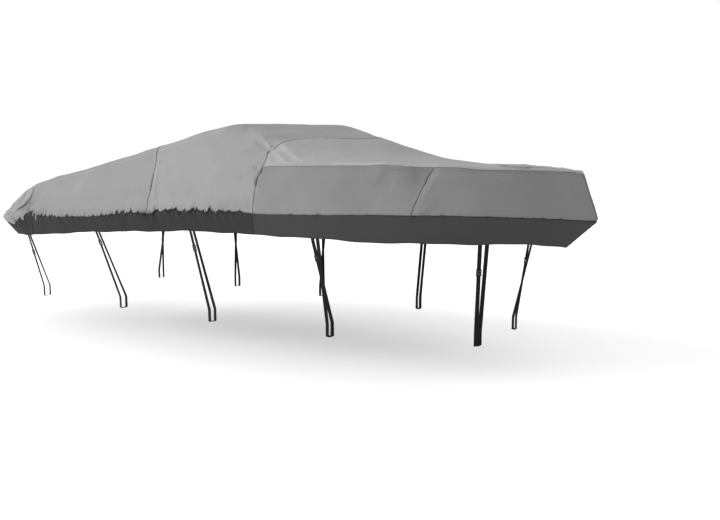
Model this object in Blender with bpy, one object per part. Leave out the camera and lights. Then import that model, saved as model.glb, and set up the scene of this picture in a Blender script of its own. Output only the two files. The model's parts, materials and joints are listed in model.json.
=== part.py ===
"""Fitted towing cover of a 21 ft runabout, as it stands over the boat: hollow, with its tie-down straps.

Metres, +X to the bow, +Y to port, +Z up. The origin is under the top of the cover, on the centreline,
at the inner face of the cloth where the boat's windscreen holds it up.
"""

from collections import namedtuple

import bmesh
import bpy
import numpy as np
from mathutils import Vector

# Cloth
CLOTH = 0.002  # coated woven polyester
SEAM_GAP = 0.0003  # between two sewn pieces
HEM_DEPTH = 0.035  # height of the turned-up hem, where the ties are sewn in
HEM_CLEAR = 0.028  # how far below the hem a tie hangs straight before it may bend

# Webbing ties
WEBBING_WIDTH = 0.038
WEBBING_THICKNESS = 0.0018
WEBBING_SEAT = 0.0016  # from the hem's inner face to the middle of the webbing sewn to it
TAB_SPACING = 0.050  # from a tie to the tab that holds its buckle, along the hem
BUCKLE_LENGTH = 0.066
BUCKLE_WIDTH = 0.050
BUCKLE_THICKNESS = 0.013
BUCKLE_WAIST = 0.041
BUCKLE_EDGE = 0.002

# The trailer's side beam, which is left out: each tie runs round it
BEAM_TOP = 0.470
BEAM_BOTTOM = 0.345
BEAM_WIDTH = 0.076
BEAM_CORNER = 0.012

# Sections of the starboard half from the stern round to the bow: x from the windscreen's top edge, y out
# from the centreline, z above the ground. The hull's rub rail is the widest line. The crease runs over the
# bow rails and fades out aft of the windscreen. The shoulder is the edge of the windscreen and of the seats.
# The ridge is the centreline, as (x, z). "soft" is how far the shoulder's rounding reaches, in strips.
# "cells" is the number of grid cells to the next section.
Section = namedtuple("Section", "name hem rub crease shoulder ridge soft cells")
SECTIONS = (
    Section("stern_centre", (-3.70, 0.00, 1.100), (-3.95, 0.00, 1.320), (-3.70, 0.00, 1.490),
            (-3.42, 0.00, 1.715), (-3.05, 1.870), 0.30, 3),
    Section("stern_quarter", (-3.70, 0.74, 1.100), (-3.96, 0.76, 1.320), (-3.70, 0.75, 1.495),
            (-3.41, 0.72, 1.715), (-3.02, 1.870), 0.30, 2),
    Section("stern_corner", (-3.71, 1.02, 1.105), (-3.97, 1.06, 1.320), (-3.69, 1.07, 1.500),
            (-3.41, 0.99, 1.715), (-2.98, 1.875), 0.25, 2),
    Section("stern_fold", (-3.55, 1.06, 1.108), (-3.78, 1.12, 1.325), (-3.46, 1.13, 1.480),
            (-3.33, 1.02, 1.755), (-2.92, 1.895), 0.25, 3),
    Section("quarter", (-3.30, 1.09, 1.118), (-3.22, 1.16, 1.360), (-3.10, 1.12, 1.560),
            (-3.00, 1.01, 1.830), (-2.75, 1.925), 0.25, 3),
    Section("aft_seat", (-2.52, 1.12, 1.180), (-2.55, 1.19, 1.385), (-2.53, 1.13, 1.610),
            (-2.50, 1.01, 1.915), (-2.35, 1.985), 0.25, 3),
    Section("engine_bay", (-1.88, 1.13, 1.225), (-1.90, 1.21, 1.415), (-1.89, 1.14, 1.680),
            (-1.86, 1.01, 2.035), (-1.78, 2.100), 0.25, 3),
    Section("seam_a", (-1.05, 1.14, 1.266), (-1.05, 1.22, 1.455), (-1.06, 1.15, 1.770),
            (-1.07, 1.01, 2.200), (-1.07, 2.260), 0.25, 3),
    Section("cockpit", (-0.46, 1.14, 1.296), (-0.45, 1.22, 1.490), (-0.45, 1.14, 1.850),
            (-0.40, 0.98, 2.356), (-0.42, 2.390), 0.20, 2),
    Section("windscreen", (0.00, 1.13, 1.300), (0.02, 1.21, 1.505), (0.02, 1.13, 1.900),
            (0.03, 0.93, 2.393), (0.00, 2.400), 0.12, 3),
    Section("seam_b", (0.38, 1.11, 1.295), (0.39, 1.19, 1.510), (0.41, 1.07, 1.945),
            (0.50, 0.91, 2.245), (0.78, 2.300), 0.20, 3),
    Section("fore_seat", (0.98, 1.06, 1.290), (1.00, 1.14, 1.515), (1.00, 1.03, 1.955),
            (1.04, 0.64, 2.150), (1.15, 2.200), 0.50, 3),
    Section("bow_locker", (1.52, 0.97, 1.275), (1.55, 1.05, 1.520), (1.58, 0.94, 1.955),
            (1.60, 0.48, 2.032), (1.62, 2.050), 0.50, 3),
    Section("seam_c", (1.93, 0.86, 1.275), (1.97, 0.95, 1.520), (2.13, 0.81, 1.935),
            (2.08, 0.40, 1.974), (2.05, 1.981), 0.50, 3),
    Section("fore_deck", (2.42, 0.62, 1.275), (2.48, 0.74, 1.520), (2.52, 0.65, 1.925),
            (2.42, 0.30, 1.955), (2.35, 1.965), 0.50, 3),
    Section("bow_rail", (2.72, 0.39, 1.272), (2.82, 0.52, 1.512), (2.80, 0.47, 1.918),
            (2.66, 0.20, 1.945), (2.52, 1.960), 0.50, 3),
    Section("bow_shoulder", (2.90, 0.20, 1.258), (3.07, 0.29, 1.497), (2.98, 0.29, 1.910),
            (2.83, 0.11, 1.937), (2.64, 1.956), 0.50, 2),
    Section("bow_quarter", (2.99, 0.07, 1.240), (3.235, 0.11, 1.480), (3.10, 0.12, 1.905),
            (2.92, 0.04, 1.933), (2.72, 1.953), 0.50, 2),
    Section("bow", (3.01, 0.00, 1.230), (3.278, 0.00, 1.475), (3.126, 0.00, 1.900),
            (2.95, 0.00, 1.930), (2.75, 1.952), 0.50, 0),
)
ROW = {section.name: index for index, section in enumerate(SECTIONS)}
WINDSCREEN = SECTIONS[ROW["windscreen"]]
PEAK_HEIGHT = WINDSCREEN.ridge[1]  # outer face above the ground, over the windscreen

# Strips across the cover, from the hem up to the ridge
HEM, RUB, CREASE, SHOULDER, RIDGE = range(5)
STRIP_STEPS = {
    HEM: (0.0, 0.5, 0.9),
    RUB: (1.0, 1.1, 1.5, 1.9),
    CREASE: (2.0, 2.1, 2.45, 2.75),
    SHOULDER: (3.0, 3.12, 3.4),
    RIDGE: (4.0,),
}
RUB_SOFT = 0.10
CREASE_SOFT = ((16.6, 0.10), (17.6, 0.22))  # at those sections and beyond them
RIDGE_SOFT = 0.60

# The windscreen frame stands a little higher to port
LEAN = 0.043  # rise per metre to port
LEAN_FROM, LEAN_OVER = 1.90, 0.40  # it sets in over this height above the ground
LEAN_CENTRE, LEAN_REACH = 0.20, 1.20

# The cloth hangs slack between its supports
TOP_SAG = 0.014
SIDE_SAG = 0.010

# Ties: x of the sewn end on the hem, x and y of the beam, drop of the buckle below the hem, and the leg of
# the loop that holds it
Tie = namedtuple("Tie", "name hem_x beam_x beam_y buckle_drop buckle_leg")
TIES = (
    Tie("stern", -3.36, -3.30, 0.93, 0.16, "outer"),
    Tie("aft", -1.98, -1.82, 0.95, 0.07, "outer"),
    Tie("mid", -0.46, -0.40, 0.96, 0.12, "outer"),
    Tie("fore", 1.04, 1.04, 0.86, 0.14, "inner"),
    Tie("bow", 2.50, 2.37, 0.43, 0.20, "outer"),
)
SIDES = {"starboard": -1, "port": 1}
MIRROR = np.array([1.0, -1.0, 1.0])
RIM_ORDER = Vector((0.61, 0.47, 0.83))  # ranks corners along any seam

# Base colour, roughness, metallic
FINISHES = {
    "panel_cloth": ((0.36, 0.36, 0.36), 0.85, 0.0),
    "side_cloth": ((0.27, 0.27, 0.27), 0.85, 0.0),
    "skirt_cloth": ((0.065, 0.065, 0.065), 0.88, 0.0),
    "webbing": ((0.008, 0.008, 0.009), 0.80, 0.0),
    "buckle": ((0.010, 0.010, 0.011), 0.45, 0.0),
}


def clear_scene():
    for thing in list(bpy.data.objects):
        bpy.data.objects.remove(thing, do_unlink=True)


def finish(name):
    """The Principled material of that name, made once."""
    material = bpy.data.materials.get(name)
    if material is None:
        colour, roughness, metallic = FINISHES[name]
        material = bpy.data.materials.new(name)
        material.use_nodes = True
        shader = material.node_tree.nodes["Principled BSDF"]
        shader.inputs["Base Color"].default_value = (*colour, 1.0)
        shader.inputs["Roughness"].default_value = roughness
        shader.inputs["Metallic"].default_value = metallic
    return material


# ---------------------------------------------------------------- the cover's surface


def section_points():
    """(sections, 5, 3): hem, rub rail, crease, shoulder and ridge of every section, port side."""
    return np.array(
        [[row.hem, row.rub, row.crease, row.shoulder, (row.ridge[0], 0.0, row.ridge[1])] for row in SECTIONS]
    )


def lines_at(t):
    """The five lines at each t, which counts sections: a cubic through the sections, mirrored at both ends.

    A tangent is the mean of the two chords beside it, weighted by the other one's length.
    """
    rows = section_points()
    ringed = np.concatenate([rows[1:2] * MIRROR, rows, rows[-2:-1] * MIRROR])
    steps = np.linalg.norm(np.diff(ringed[:, RUB], axis=0), axis=1)[:, None, None]
    slopes = np.diff(ringed, axis=0) / steps
    tangents = (slopes[:-1] * steps[1:] + slopes[1:] * steps[:-1]) / (steps[1:] + steps[:-1])
    low = np.clip(np.floor(t).astype(int), 0, len(rows) - 2)
    f = (t - low)[:, None, None]
    length = steps[1:-1][low]
    return (
        (2 * f**3 - 3 * f**2 + 1) * rows[low]
        + (f**3 - 2 * f**2 + f) * length * tangents[low]
        + (3 * f**2 - 2 * f**3) * rows[low + 1]
        + (f**3 - f**2) * length * tangents[low + 1]
    )


def softness(t):
    """How far the rounding reaches from the rub rail, crease, shoulder and ridge at each t."""
    shoulder = np.interp(t, np.arange(len(SECTIONS)), [row.soft for row in SECTIONS])
    return {
        RUB: np.full(len(t), RUB_SOFT),
        CREASE: np.interp(t, *zip(*CREASE_SOFT)),
        SHOULDER: shoulder,
        RIDGE: np.full(len(t), RIDGE_SOFT),
    }


def slack(t, s):
    """Inward sag between the supports: a half wave across each strip."""
    side = SIDE_SAG * np.sin(np.pi * np.clip(s - RUB, 0, 1)) ** 2
    top = TOP_SAG * np.sin(np.pi * np.clip(s - CREASE, 0, 1)) ** 2
    aft_of_screen = np.clip((ROW["windscreen"] - t) / 2, 0, 1) * np.clip((t - ROW["quarter"]) / 1, 0, 1)
    ahead = np.clip((t - ROW["seam_b"]) / 1, 0, 1) * np.clip((ROW["fore_deck"] - t) / 2, 0, 1)
    return aft_of_screen[:, None] * (side + top)[None, :] + ahead[:, None] * (0.6 * side + top)[None, :]


def cover(t, s, side):
    """Outer face at every pair of t, in sections, and s, in strips: an array (len(t), len(s), 3).

    Straight strips join the five lines, and at each line a parabola replaces the corner. The half toward
    side is given, and the origin is already where the part has it.
    """
    t = np.asarray(t, float)
    s = np.asarray(s, float)
    lines = lines_at(t)
    lines = np.concatenate([lines, (lines[:, SHOULDER] * MIRROR)[:, None]], axis=1)
    low = np.clip(np.floor(s).astype(int), 0, RIDGE - 1)
    f = (s - low)[None, :, None]
    points = lines[:, low] * (1 - f) + lines[:, low + 1] * f
    for line, reach in softness(t).items():
        turn = (lines[:, line + 1] - lines[:, line]) - (lines[:, line] - lines[:, line - 1])
        near = np.clip(reach[:, None] - abs(s - line)[None, :], 0, None) ** 2 / (4 * reach[:, None])
        points = points + turn[:, None] * near[:, :, None]
    points[..., 1] -= slack(t, s)
    points[..., 1] *= side
    rise = np.clip((points[..., 2] - LEAN_FROM) / LEAN_OVER, 0, 1)
    rise = rise * np.exp(-(((points[..., 0] - LEAN_CENTRE) / LEAN_REACH) ** 2))
    points[..., 2] += LEAN * points[..., 1] * rise - PEAK_HEIGHT + CLOTH
    return points


def slopes_cross(t, s, side):
    """Outward vectors across the surface, from small steps in t and s, a little off the centreline.

    The surface has no slope of its own where its lines end on the centreline.
    """
    step, inset = 1e-3, 0.02
    t = np.clip(t, inset, len(SECTIONS) - 1 - inset)
    s = np.clip(s, HEM, RIDGE - inset)
    along = cover(t + step, s, side) - cover(t - step, s, side)
    up = cover(t, s + step, side) - cover(t, np.clip(s - step, HEM, RIDGE), side)
    return np.cross(along, up) * -side


def cover_normals(t, s, side):
    """Outward unit normals. On the centreline both halves have the same one, which doesn't lean across it."""
    t, s = np.asarray(t, float), np.asarray(s, float)
    normals = slopes_cross(t, s, side)
    shared = (normals + slopes_cross(t, s, -side) * MIRROR) * (1, 0, 1)
    centre = ((t <= 0) | (t >= len(SECTIONS) - 1))[:, None] | (s >= RIDGE)[None, :]
    normals = np.where(centre[..., None], shared, normals)
    return normals / np.linalg.norm(normals, axis=-1, keepdims=True)


def steps_along(first, last):
    """Grid values of t between two named sections, with each section's number of cells."""
    t = [np.linspace(i, i + 1, SECTIONS[i].cells, endpoint=False) for i in range(ROW[first], ROW[last])]
    return np.append(np.concatenate(t), ROW[last])


def steps_up(first, last):
    """Grid values of s between two lines."""
    s = [STRIP_STEPS[line] for line in range(first, last)]
    return np.append(np.concatenate(s), last)


# ---------------------------------------------------------------- solids


def new_object(name, mesh, material, collection):
    thing = bpy.data.objects.new(name, mesh)
    mesh.materials.append(finish(material))
    collection.objects.link(thing)
    return thing


def pulled_in(grid, edges):
    """Moves the named edges of a grid of points inward by half the seam gap."""
    grid = grid.copy()
    half = SEAM_GAP / 2
    for edge, near, beside in (("first", 0, 1), ("last", -1, -2)):
        if edge in edges:
            step = grid[beside] - grid[near]
            grid[near] += half * step / np.linalg.norm(step, axis=-1, keepdims=True)
    for edge, near, beside in (("low", 0, 1), ("high", -1, -2)):
        if edge in edges:
            step = grid[:, beside] - grid[:, near]
            grid[:, near] += half * step / np.linalg.norm(step, axis=-1, keepdims=True)
    return grid


def sheet_solid(name, sides, ends, lines, edges, material, collection):
    """One cut piece: its outer face, the inner face CLOTH below it along the cover's normals, and the rim.

    A piece that crosses the centreline is made of both halves, welded there.
    """
    t, s = steps_along(*ends), steps_up(*lines)
    mesh = bmesh.new()
    skins = {"outer": {}, "inner": {}}
    faces = []

    def corner(skin, point):
        key = tuple(int(round(value * 1e7)) for value in point)
        if key not in skins[skin]:
            skins[skin][key] = mesh.verts.new(point)
        return skins[skin][key]

    for side in sides:
        outside = cover(t, s, side)
        inside = pulled_in(outside - CLOTH * cover_normals(t, s, side), edges)
        outside = pulled_in(outside, edges)
        outer = [[corner("outer", point) for point in row] for row in outside]
        inner = [[corner("inner", point) for point in row] for row in inside]
        for i in range(len(t) - 1):
            # The diagonal ends in the corner where the section lines meet the ridge.
            fore = 2 * i >= len(t) - 1
            for j in range(len(s) - 1):
                square = ((i, j), (i, j + 1), (i + 1, j + 1), (i + 1, j))[:: side]
                turn = 0 if fore == (square[0] == (i, j)) else 1
                square = square[turn:] + square[:turn]
                for places in (square[:3], (square[2], square[3], square[0])):
                    faces.append(([outer[a][b] for a, b in places], [inner[a][b] for a, b in places]))
    partner = {}
    for outer_corners, inner_corners in faces:
        mesh.faces.new(outer_corners)
        mesh.faces.new(inner_corners[::-1])
        partner.update(zip(outer_corners, inner_corners))
    for edge in [edge for edge in mesh.edges if edge.is_boundary and edge.verts[0] in partner]:
        # Neighbours split their facing rims along the same diagonal, so twisted rims don't cross.
        a, b = sorted(edge.verts, key=lambda corner: corner.co.dot(RIM_ORDER))
        mesh.faces.new((b, a, partner[a]))
        mesh.faces.new((b, partner[a], partner[b]))
    bmesh.ops.recalc_face_normals(mesh, faces=mesh.faces)
    data = bpy.data.meshes.new(name)
    mesh.to_mesh(data)
    mesh.free()
    data.shade_smooth()
    return new_object(name, data, material, collection)


def cloth_pieces(collection):
    """Every cut piece of the cover, from the stern to the bow."""
    both = tuple(SIDES.values())
    sheet_solid("stern_panel", both, ("stern_centre", "stern_fold"), (RUB, RIDGE), ("last", "low"),
                "panel_cloth", collection)
    sheet_solid("aft_panel", both, ("stern_fold", "seam_a"), (RUB, RIDGE), ("first", "last", "low"),
                "panel_cloth", collection)
    sheet_solid("mid_panel", both, ("seam_a", "seam_b"), (RUB, RIDGE), ("first", "last", "low"),
                "panel_cloth", collection)
    sheet_solid("foredeck_panel", both, ("seam_b", "bow"), (CREASE, RIDGE), ("first", "low"),
                "panel_cloth", collection)
    sheet_solid("stern_skirt", both, ("stern_centre", "quarter"), (HEM, RUB), ("last", "high"),
                "skirt_cloth", collection)
    one_side = ("first", "last", "low", "high")
    for side, sign in SIDES.items():
        sheet_solid(f"side_panel_{side}", (sign,), ("seam_b", "seam_c"), (RUB, CREASE), one_side,
                    "side_cloth", collection)
        sheet_solid(f"bow_panel_{side}", (sign,), ("seam_c", "bow"), (RUB, CREASE), one_side,
                    "side_cloth", collection)
        sheet_solid(f"aft_skirt_{side}", (sign,), ("quarter", "seam_b"), (HEM, RUB), ("first", "last", "high"),
                    "skirt_cloth", collection)
        sheet_solid(f"fore_skirt_{side}", (sign,), ("seam_b", "bow"), (HEM, RUB), ("first", "last", "high"),
                    "skirt_cloth", collection)


# ---------------------------------------------------------------- ties


def hem_frame(x, side):
    """Where a tie or tab is sewn in: a point on the hem's inner face, HEM_DEPTH up, the point HEM_CLEAR below
    the hem's edge where it may first bend, and the direction along the hem toward the bow. They lie on the
    flat faces between two grid lines."""
    t = steps_along("stern_centre", "bow")
    s = steps_up(HEM, RUB)[:2]
    inside = cover(t, s, side) - (CLOTH + WEBBING_SEAT) * cover_normals(t, s, side)
    low, high = inside[:-1, 0, 0], inside[1:, 0, 0]
    cell = np.argmax((low <= x) & (x < high))
    aft, fore = inside[cell], inside[cell + 1]
    edge, above = aft + (fore - aft) * (x - aft[0, 0]) / (fore[0, 0] - aft[0, 0])
    along = fore[0] - aft[0]
    up = (above - edge) / np.linalg.norm(above - edge)
    return edge + HEM_DEPTH * up, edge - HEM_CLEAR * up, along / np.linalg.norm(along)


def rounded(points, radius, steps=4):
    """A polyline whose inner corners are arcs: each corner becomes a quadratic curve of that reach."""
    out = [points[0]]
    for before, corner, after in zip(points, points[1:], points[2:]):
        back, ahead = before - corner, after - corner
        reach = min(radius, np.linalg.norm(back) / 2, np.linalg.norm(ahead) / 2)
        start = corner + reach * back / np.linalg.norm(back)
        end = corner + reach * ahead / np.linalg.norm(ahead)
        for f in np.linspace(0, 1, steps):
            out.append((1 - f) ** 2 * start + 2 * f * (1 - f) * corner + f**2 * end)
    out.append(points[-1])
    return np.array(out)


def ribbon(name, route, across, collection):
    """Flat webbing: a rectangle WEBBING_WIDTH by WEBBING_THICKNESS carried along the route."""
    mesh = bmesh.new()
    tangents = np.gradient(route, axis=0)
    tangents /= np.linalg.norm(tangents, axis=1, keepdims=True)
    rings = []
    for point, tangent in zip(route, tangents):
        wide = across - tangent * np.dot(across, tangent)
        wide /= np.linalg.norm(wide)
        thick = np.cross(tangent, wide)
        half_w, half_t = wide * WEBBING_WIDTH / 2, thick * WEBBING_THICKNESS / 2
        corners = (half_w + half_t, half_t - half_w, -half_w - half_t, half_w - half_t)
        rings.append([mesh.verts.new(point + corner) for corner in corners])
    for ring, after in zip(rings, rings[1:]):
        for i in range(4):
            mesh.faces.new((ring[i], ring[i - 1], after[i - 1], after[i]))
    mesh.faces.new(rings[0])
    mesh.faces.new(rings[-1][::-1])
    bmesh.ops.recalc_face_normals(mesh, faces=mesh.faces)
    data = bpy.data.meshes.new(name)
    mesh.to_mesh(data)
    mesh.free()
    return new_object(name, data, "webbing", collection)


def buckle_solid(name, top, down, across, collection):
    """Side-release buckle: two wide ends and a waist, extruded and bevelled, hanging from top along down."""
    half_l, half_w, waist = BUCKLE_LENGTH / 2, BUCKLE_WIDTH / 2, BUCKLE_WAIST / 2
    outline = (
        (half_w, half_l), (half_w, 0.10 * half_l), (waist, -0.05 * half_l), (waist, -0.45 * half_l),
        (half_w, -0.60 * half_l), (half_w, -half_l),
    )
    ring = [*outline, *((-x, y) for x, y in reversed(outline))]
    mesh = bmesh.new()
    face = mesh.faces.new([mesh.verts.new((x, y, -BUCKLE_THICKNESS / 2)) for x, y in ring])
    raised = bmesh.ops.extrude_face_region(mesh, geom=[face])["geom"]
    bmesh.ops.translate(
        mesh, verts=[v for v in raised if isinstance(v, bmesh.types.BMVert)], vec=(0, 0, BUCKLE_THICKNESS)
    )
    bmesh.ops.recalc_face_normals(mesh, faces=mesh.faces)
    bmesh.ops.bevel(mesh, geom=mesh.edges[:], offset=BUCKLE_EDGE, segments=1, affect="EDGES")
    thick = np.cross(across, down)
    centre = top + down * half_l
    for vertex in mesh.verts:
        vertex.co = centre + across * vertex.co.x - down * vertex.co.y + thick * vertex.co.z
    mesh.normal_update()
    bmesh.ops.recalc_face_normals(mesh, faces=mesh.faces)
    data = bpy.data.meshes.new(name)
    mesh.to_mesh(data)
    mesh.free()
    return new_object(name, data, "buckle", collection)


def beam_corners(tie, side):
    """The tie's route round the beam: down its outer face, under it and up its inner face."""
    reach = BEAM_WIDTH / 2 + WEBBING_THICKNESS
    low, high = (height - PEAK_HEIGHT + CLOTH for height in (BEAM_BOTTOM - WEBBING_THICKNESS, BEAM_TOP))
    outer, inner = side * (tie.beam_y + reach), side * (tie.beam_y - reach)
    return [np.array(p) for p in ((tie.beam_x, outer, high), (tie.beam_x, outer, low),
                                  (tie.beam_x, inner, low), (tie.beam_x, inner, high))]


def tie_down(tie, side, sign, collection):
    """One tie: webbing sewn to the hem, round the beam and up to the buckle, which hangs on its own tab."""
    top, edge, along = hem_frame(tie.hem_x, sign)
    tab_top, tab_edge, tab_along = hem_frame(tie.hem_x - TAB_SPACING, sign)
    corners = beam_corners(tie, sign)
    if tie.buckle_leg == "outer":
        corners.reverse()
    down = corners[-1] - tab_edge
    down /= np.linalg.norm(down)
    across = along - down * np.dot(along, down)
    across /= np.linalg.norm(across)
    buckle_top = tab_edge + down * tie.buckle_drop
    buckle_end = buckle_top + down * (BUCKLE_LENGTH + SEAM_GAP)
    route = rounded([top, edge, *corners, buckle_end], BEAM_CORNER)
    ribbon(f"tie_{tie.name}_{side}", route, along, collection)
    tab = rounded([tab_top, tab_edge, buckle_top - down * SEAM_GAP], BEAM_CORNER)
    ribbon(f"tab_{tie.name}_{side}", tab, tab_along, collection)
    buckle_solid(f"buckle_{tie.name}_{side}", buckle_top, down, across, collection)


def main():
    clear_scene()
    collection = bpy.data.collections.new("boat_cover")
    bpy.context.scene.collection.children.link(collection)
    cloth_pieces(collection)
    for tie in TIES:
        for side, sign in SIDES.items():
            tie_down(tie, side, sign, collection)


main()
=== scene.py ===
"""Fitted towing cover of a runabout: cloth panels, gathered skirt, webbing ties, buckles and a plain studio.

Metres, +X to the bow, +Y to port, +Z up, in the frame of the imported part. The boat and trailer are left out.
"""

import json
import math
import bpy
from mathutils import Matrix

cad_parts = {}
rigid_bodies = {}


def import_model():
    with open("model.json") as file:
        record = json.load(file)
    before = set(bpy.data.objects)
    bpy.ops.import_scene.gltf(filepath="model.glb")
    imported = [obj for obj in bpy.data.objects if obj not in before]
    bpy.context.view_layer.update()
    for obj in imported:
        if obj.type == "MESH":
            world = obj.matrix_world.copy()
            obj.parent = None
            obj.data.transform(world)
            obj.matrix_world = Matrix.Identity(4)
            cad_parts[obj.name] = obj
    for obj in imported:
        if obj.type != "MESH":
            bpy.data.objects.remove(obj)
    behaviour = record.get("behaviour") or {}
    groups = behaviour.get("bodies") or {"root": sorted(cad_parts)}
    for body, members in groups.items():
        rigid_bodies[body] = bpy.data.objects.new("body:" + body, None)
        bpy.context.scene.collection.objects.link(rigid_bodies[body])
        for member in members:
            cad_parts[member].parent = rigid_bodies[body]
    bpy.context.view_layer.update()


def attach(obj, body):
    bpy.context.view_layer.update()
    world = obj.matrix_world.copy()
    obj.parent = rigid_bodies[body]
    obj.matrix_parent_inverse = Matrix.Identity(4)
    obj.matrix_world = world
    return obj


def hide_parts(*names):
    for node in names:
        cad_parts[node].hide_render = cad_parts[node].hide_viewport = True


bl_info = {
    "name": "Boat Cover",
    "version": (1, 0, 0),
    "blender": (4, 5, 0),
    "location": "3D View > Sidebar > Boat Cover",
    "description": "Builds the cloth, seams, ties and buckles of a fitted boat cover, and a studio around it",
    "category": "Add Mesh",
}

from collections import namedtuple

import bmesh
import bpy
import numpy as np

for thing in list(bpy.data.objects):
    bpy.data.objects.remove(thing)

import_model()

# ---------------------------------------------------------------- the hull's and windscreen's lines

# Sections of one half from the stern round to the bow: x from the windscreen's top edge, y out from the
# centreline, z above the ground. The hull's rub rail is the widest line. The crease runs over the bow rails
# and fades out aft of the windscreen. The shoulder is the edge of the windscreen and of the seats. The ridge
# is the centreline, as (x, z). "soft" is how far the shoulder's rounding reaches, in strips.
Section = namedtuple("Section", "name hem rub crease shoulder ridge soft")
SECTIONS = (
    Section("stern_centre", (-3.70, 0.00, 1.100), (-3.95, 0.00, 1.320), (-3.70, 0.00, 1.490),
            (-3.42, 0.00, 1.715), (-3.05, 1.870), 0.30),
    Section("stern_quarter", (-3.70, 0.74, 1.100), (-3.96, 0.76, 1.320), (-3.70, 0.75, 1.495),
            (-3.41, 0.72, 1.715), (-3.02, 1.870), 0.30),
    Section("stern_corner", (-3.71, 1.02, 1.105), (-3.97, 1.06, 1.320), (-3.69, 1.07, 1.500),
            (-3.41, 0.99, 1.715), (-2.98, 1.875), 0.25),
    Section("stern_fold", (-3.55, 1.06, 1.108), (-3.78, 1.12, 1.325), (-3.46, 1.13, 1.480),
            (-3.33, 1.02, 1.755), (-2.92, 1.895), 0.25),
    Section("quarter", (-3.30, 1.09, 1.118), (-3.22, 1.16, 1.360), (-3.10, 1.12, 1.560),
            (-3.00, 1.01, 1.830), (-2.75, 1.925), 0.25),
    Section("aft_seat", (-2.52, 1.12, 1.180), (-2.55, 1.19, 1.385), (-2.53, 1.13, 1.610),
            (-2.50, 1.01, 1.915), (-2.35, 1.985), 0.25),
    Section("engine_bay", (-1.88, 1.13, 1.225), (-1.90, 1.21, 1.415), (-1.89, 1.14, 1.680),
            (-1.86, 1.01, 2.035), (-1.78, 2.100), 0.25),
    Section("seam_a", (-1.05, 1.14, 1.266), (-1.05, 1.22, 1.455), (-1.06, 1.15, 1.770),
            (-1.07, 1.01, 2.200), (-1.07, 2.260), 0.25),
    Section("cockpit", (-0.46, 1.14, 1.296), (-0.45, 1.22, 1.490), (-0.45, 1.14, 1.850),
            (-0.40, 0.98, 2.356), (-0.42, 2.390), 0.20),
    Section("windscreen", (0.00, 1.13, 1.300), (0.02, 1.21, 1.505), (0.02, 1.13, 1.900),
            (0.03, 0.93, 2.393), (0.00, 2.400), 0.12),
    Section("seam_b", (0.38, 1.11, 1.295), (0.39, 1.19, 1.510), (0.41, 1.07, 1.945),
            (0.50, 0.91, 2.245), (0.78, 2.300), 0.20),
    Section("fore_seat", (0.98, 1.06, 1.290), (1.00, 1.14, 1.515), (1.00, 1.03, 1.955),
            (1.04, 0.64, 2.150), (1.15, 2.200), 0.50),
    Section("bow_locker", (1.52, 0.97, 1.275), (1.55, 1.05, 1.520), (1.58, 0.94, 1.955),
            (1.60, 0.48, 2.032), (1.62, 2.050), 0.50),
    Section("seam_c", (1.93, 0.86, 1.275), (1.97, 0.95, 1.520), (2.13, 0.81, 1.935),
            (2.08, 0.40, 1.974), (2.05, 1.981), 0.50),
    Section("fore_deck", (2.42, 0.62, 1.275), (2.48, 0.74, 1.520), (2.52, 0.65, 1.925),
            (2.42, 0.30, 1.955), (2.35, 1.965), 0.50),
    Section("bow_rail", (2.72, 0.39, 1.272), (2.82, 0.52, 1.512), (2.80, 0.47, 1.918),
            (2.66, 0.20, 1.945), (2.52, 1.960), 0.50),
    Section("bow_shoulder", (2.90, 0.20, 1.258), (3.07, 0.29, 1.497), (2.98, 0.29, 1.910),
            (2.83, 0.11, 1.937), (2.64, 1.956), 0.50),
    Section("bow_quarter", (2.99, 0.07, 1.240), (3.235, 0.11, 1.480), (3.10, 0.12, 1.905),
            (2.92, 0.04, 1.933), (2.72, 1.953), 0.50),
    Section("bow", (3.01, 0.00, 1.230), (3.278, 0.00, 1.475), (3.126, 0.00, 1.900),
            (2.95, 0.00, 1.930), (2.75, 1.952), 0.50),
)
ROW = {section.name: index for index, section in enumerate(SECTIONS)}
LAST = len(SECTIONS) - 1
CLOTH = 0.002  # the solids' cloth, whose inner face is the origin's height
PEAK_HEIGHT = SECTIONS[ROW["windscreen"]].ridge[1]
GROUND = CLOTH - PEAK_HEIGHT

# Strips across the cover, from the hem up to the ridge, and how far the rounding of each line reaches
HEM, RUB, CREASE, SHOULDER, RIDGE = range(5)
RUB_SOFT = 0.10
CREASE_SOFT = ((16.6, 0.10), (17.6, 0.22))
RIDGE_SOFT = 0.60

# The windscreen frame stands a little higher to port
LEAN = 0.043
LEAN_FROM, LEAN_OVER = 1.90, 0.40
LEAN_CENTRE, LEAN_REACH = 0.20, 1.20

# The cloth hangs slack between its supports
TOP_SAG = 0.014
SIDE_SAG = 0.010
FORE_SIDE_SAG = 0.6  # share of SIDE_SAG on the side panels

SIDES = {"starboard": -1, "port": 1}
MIRROR = np.array([1.0, -1.0, 1.0])

# ---------------------------------------------------------------- seams, folds and gathers

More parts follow.
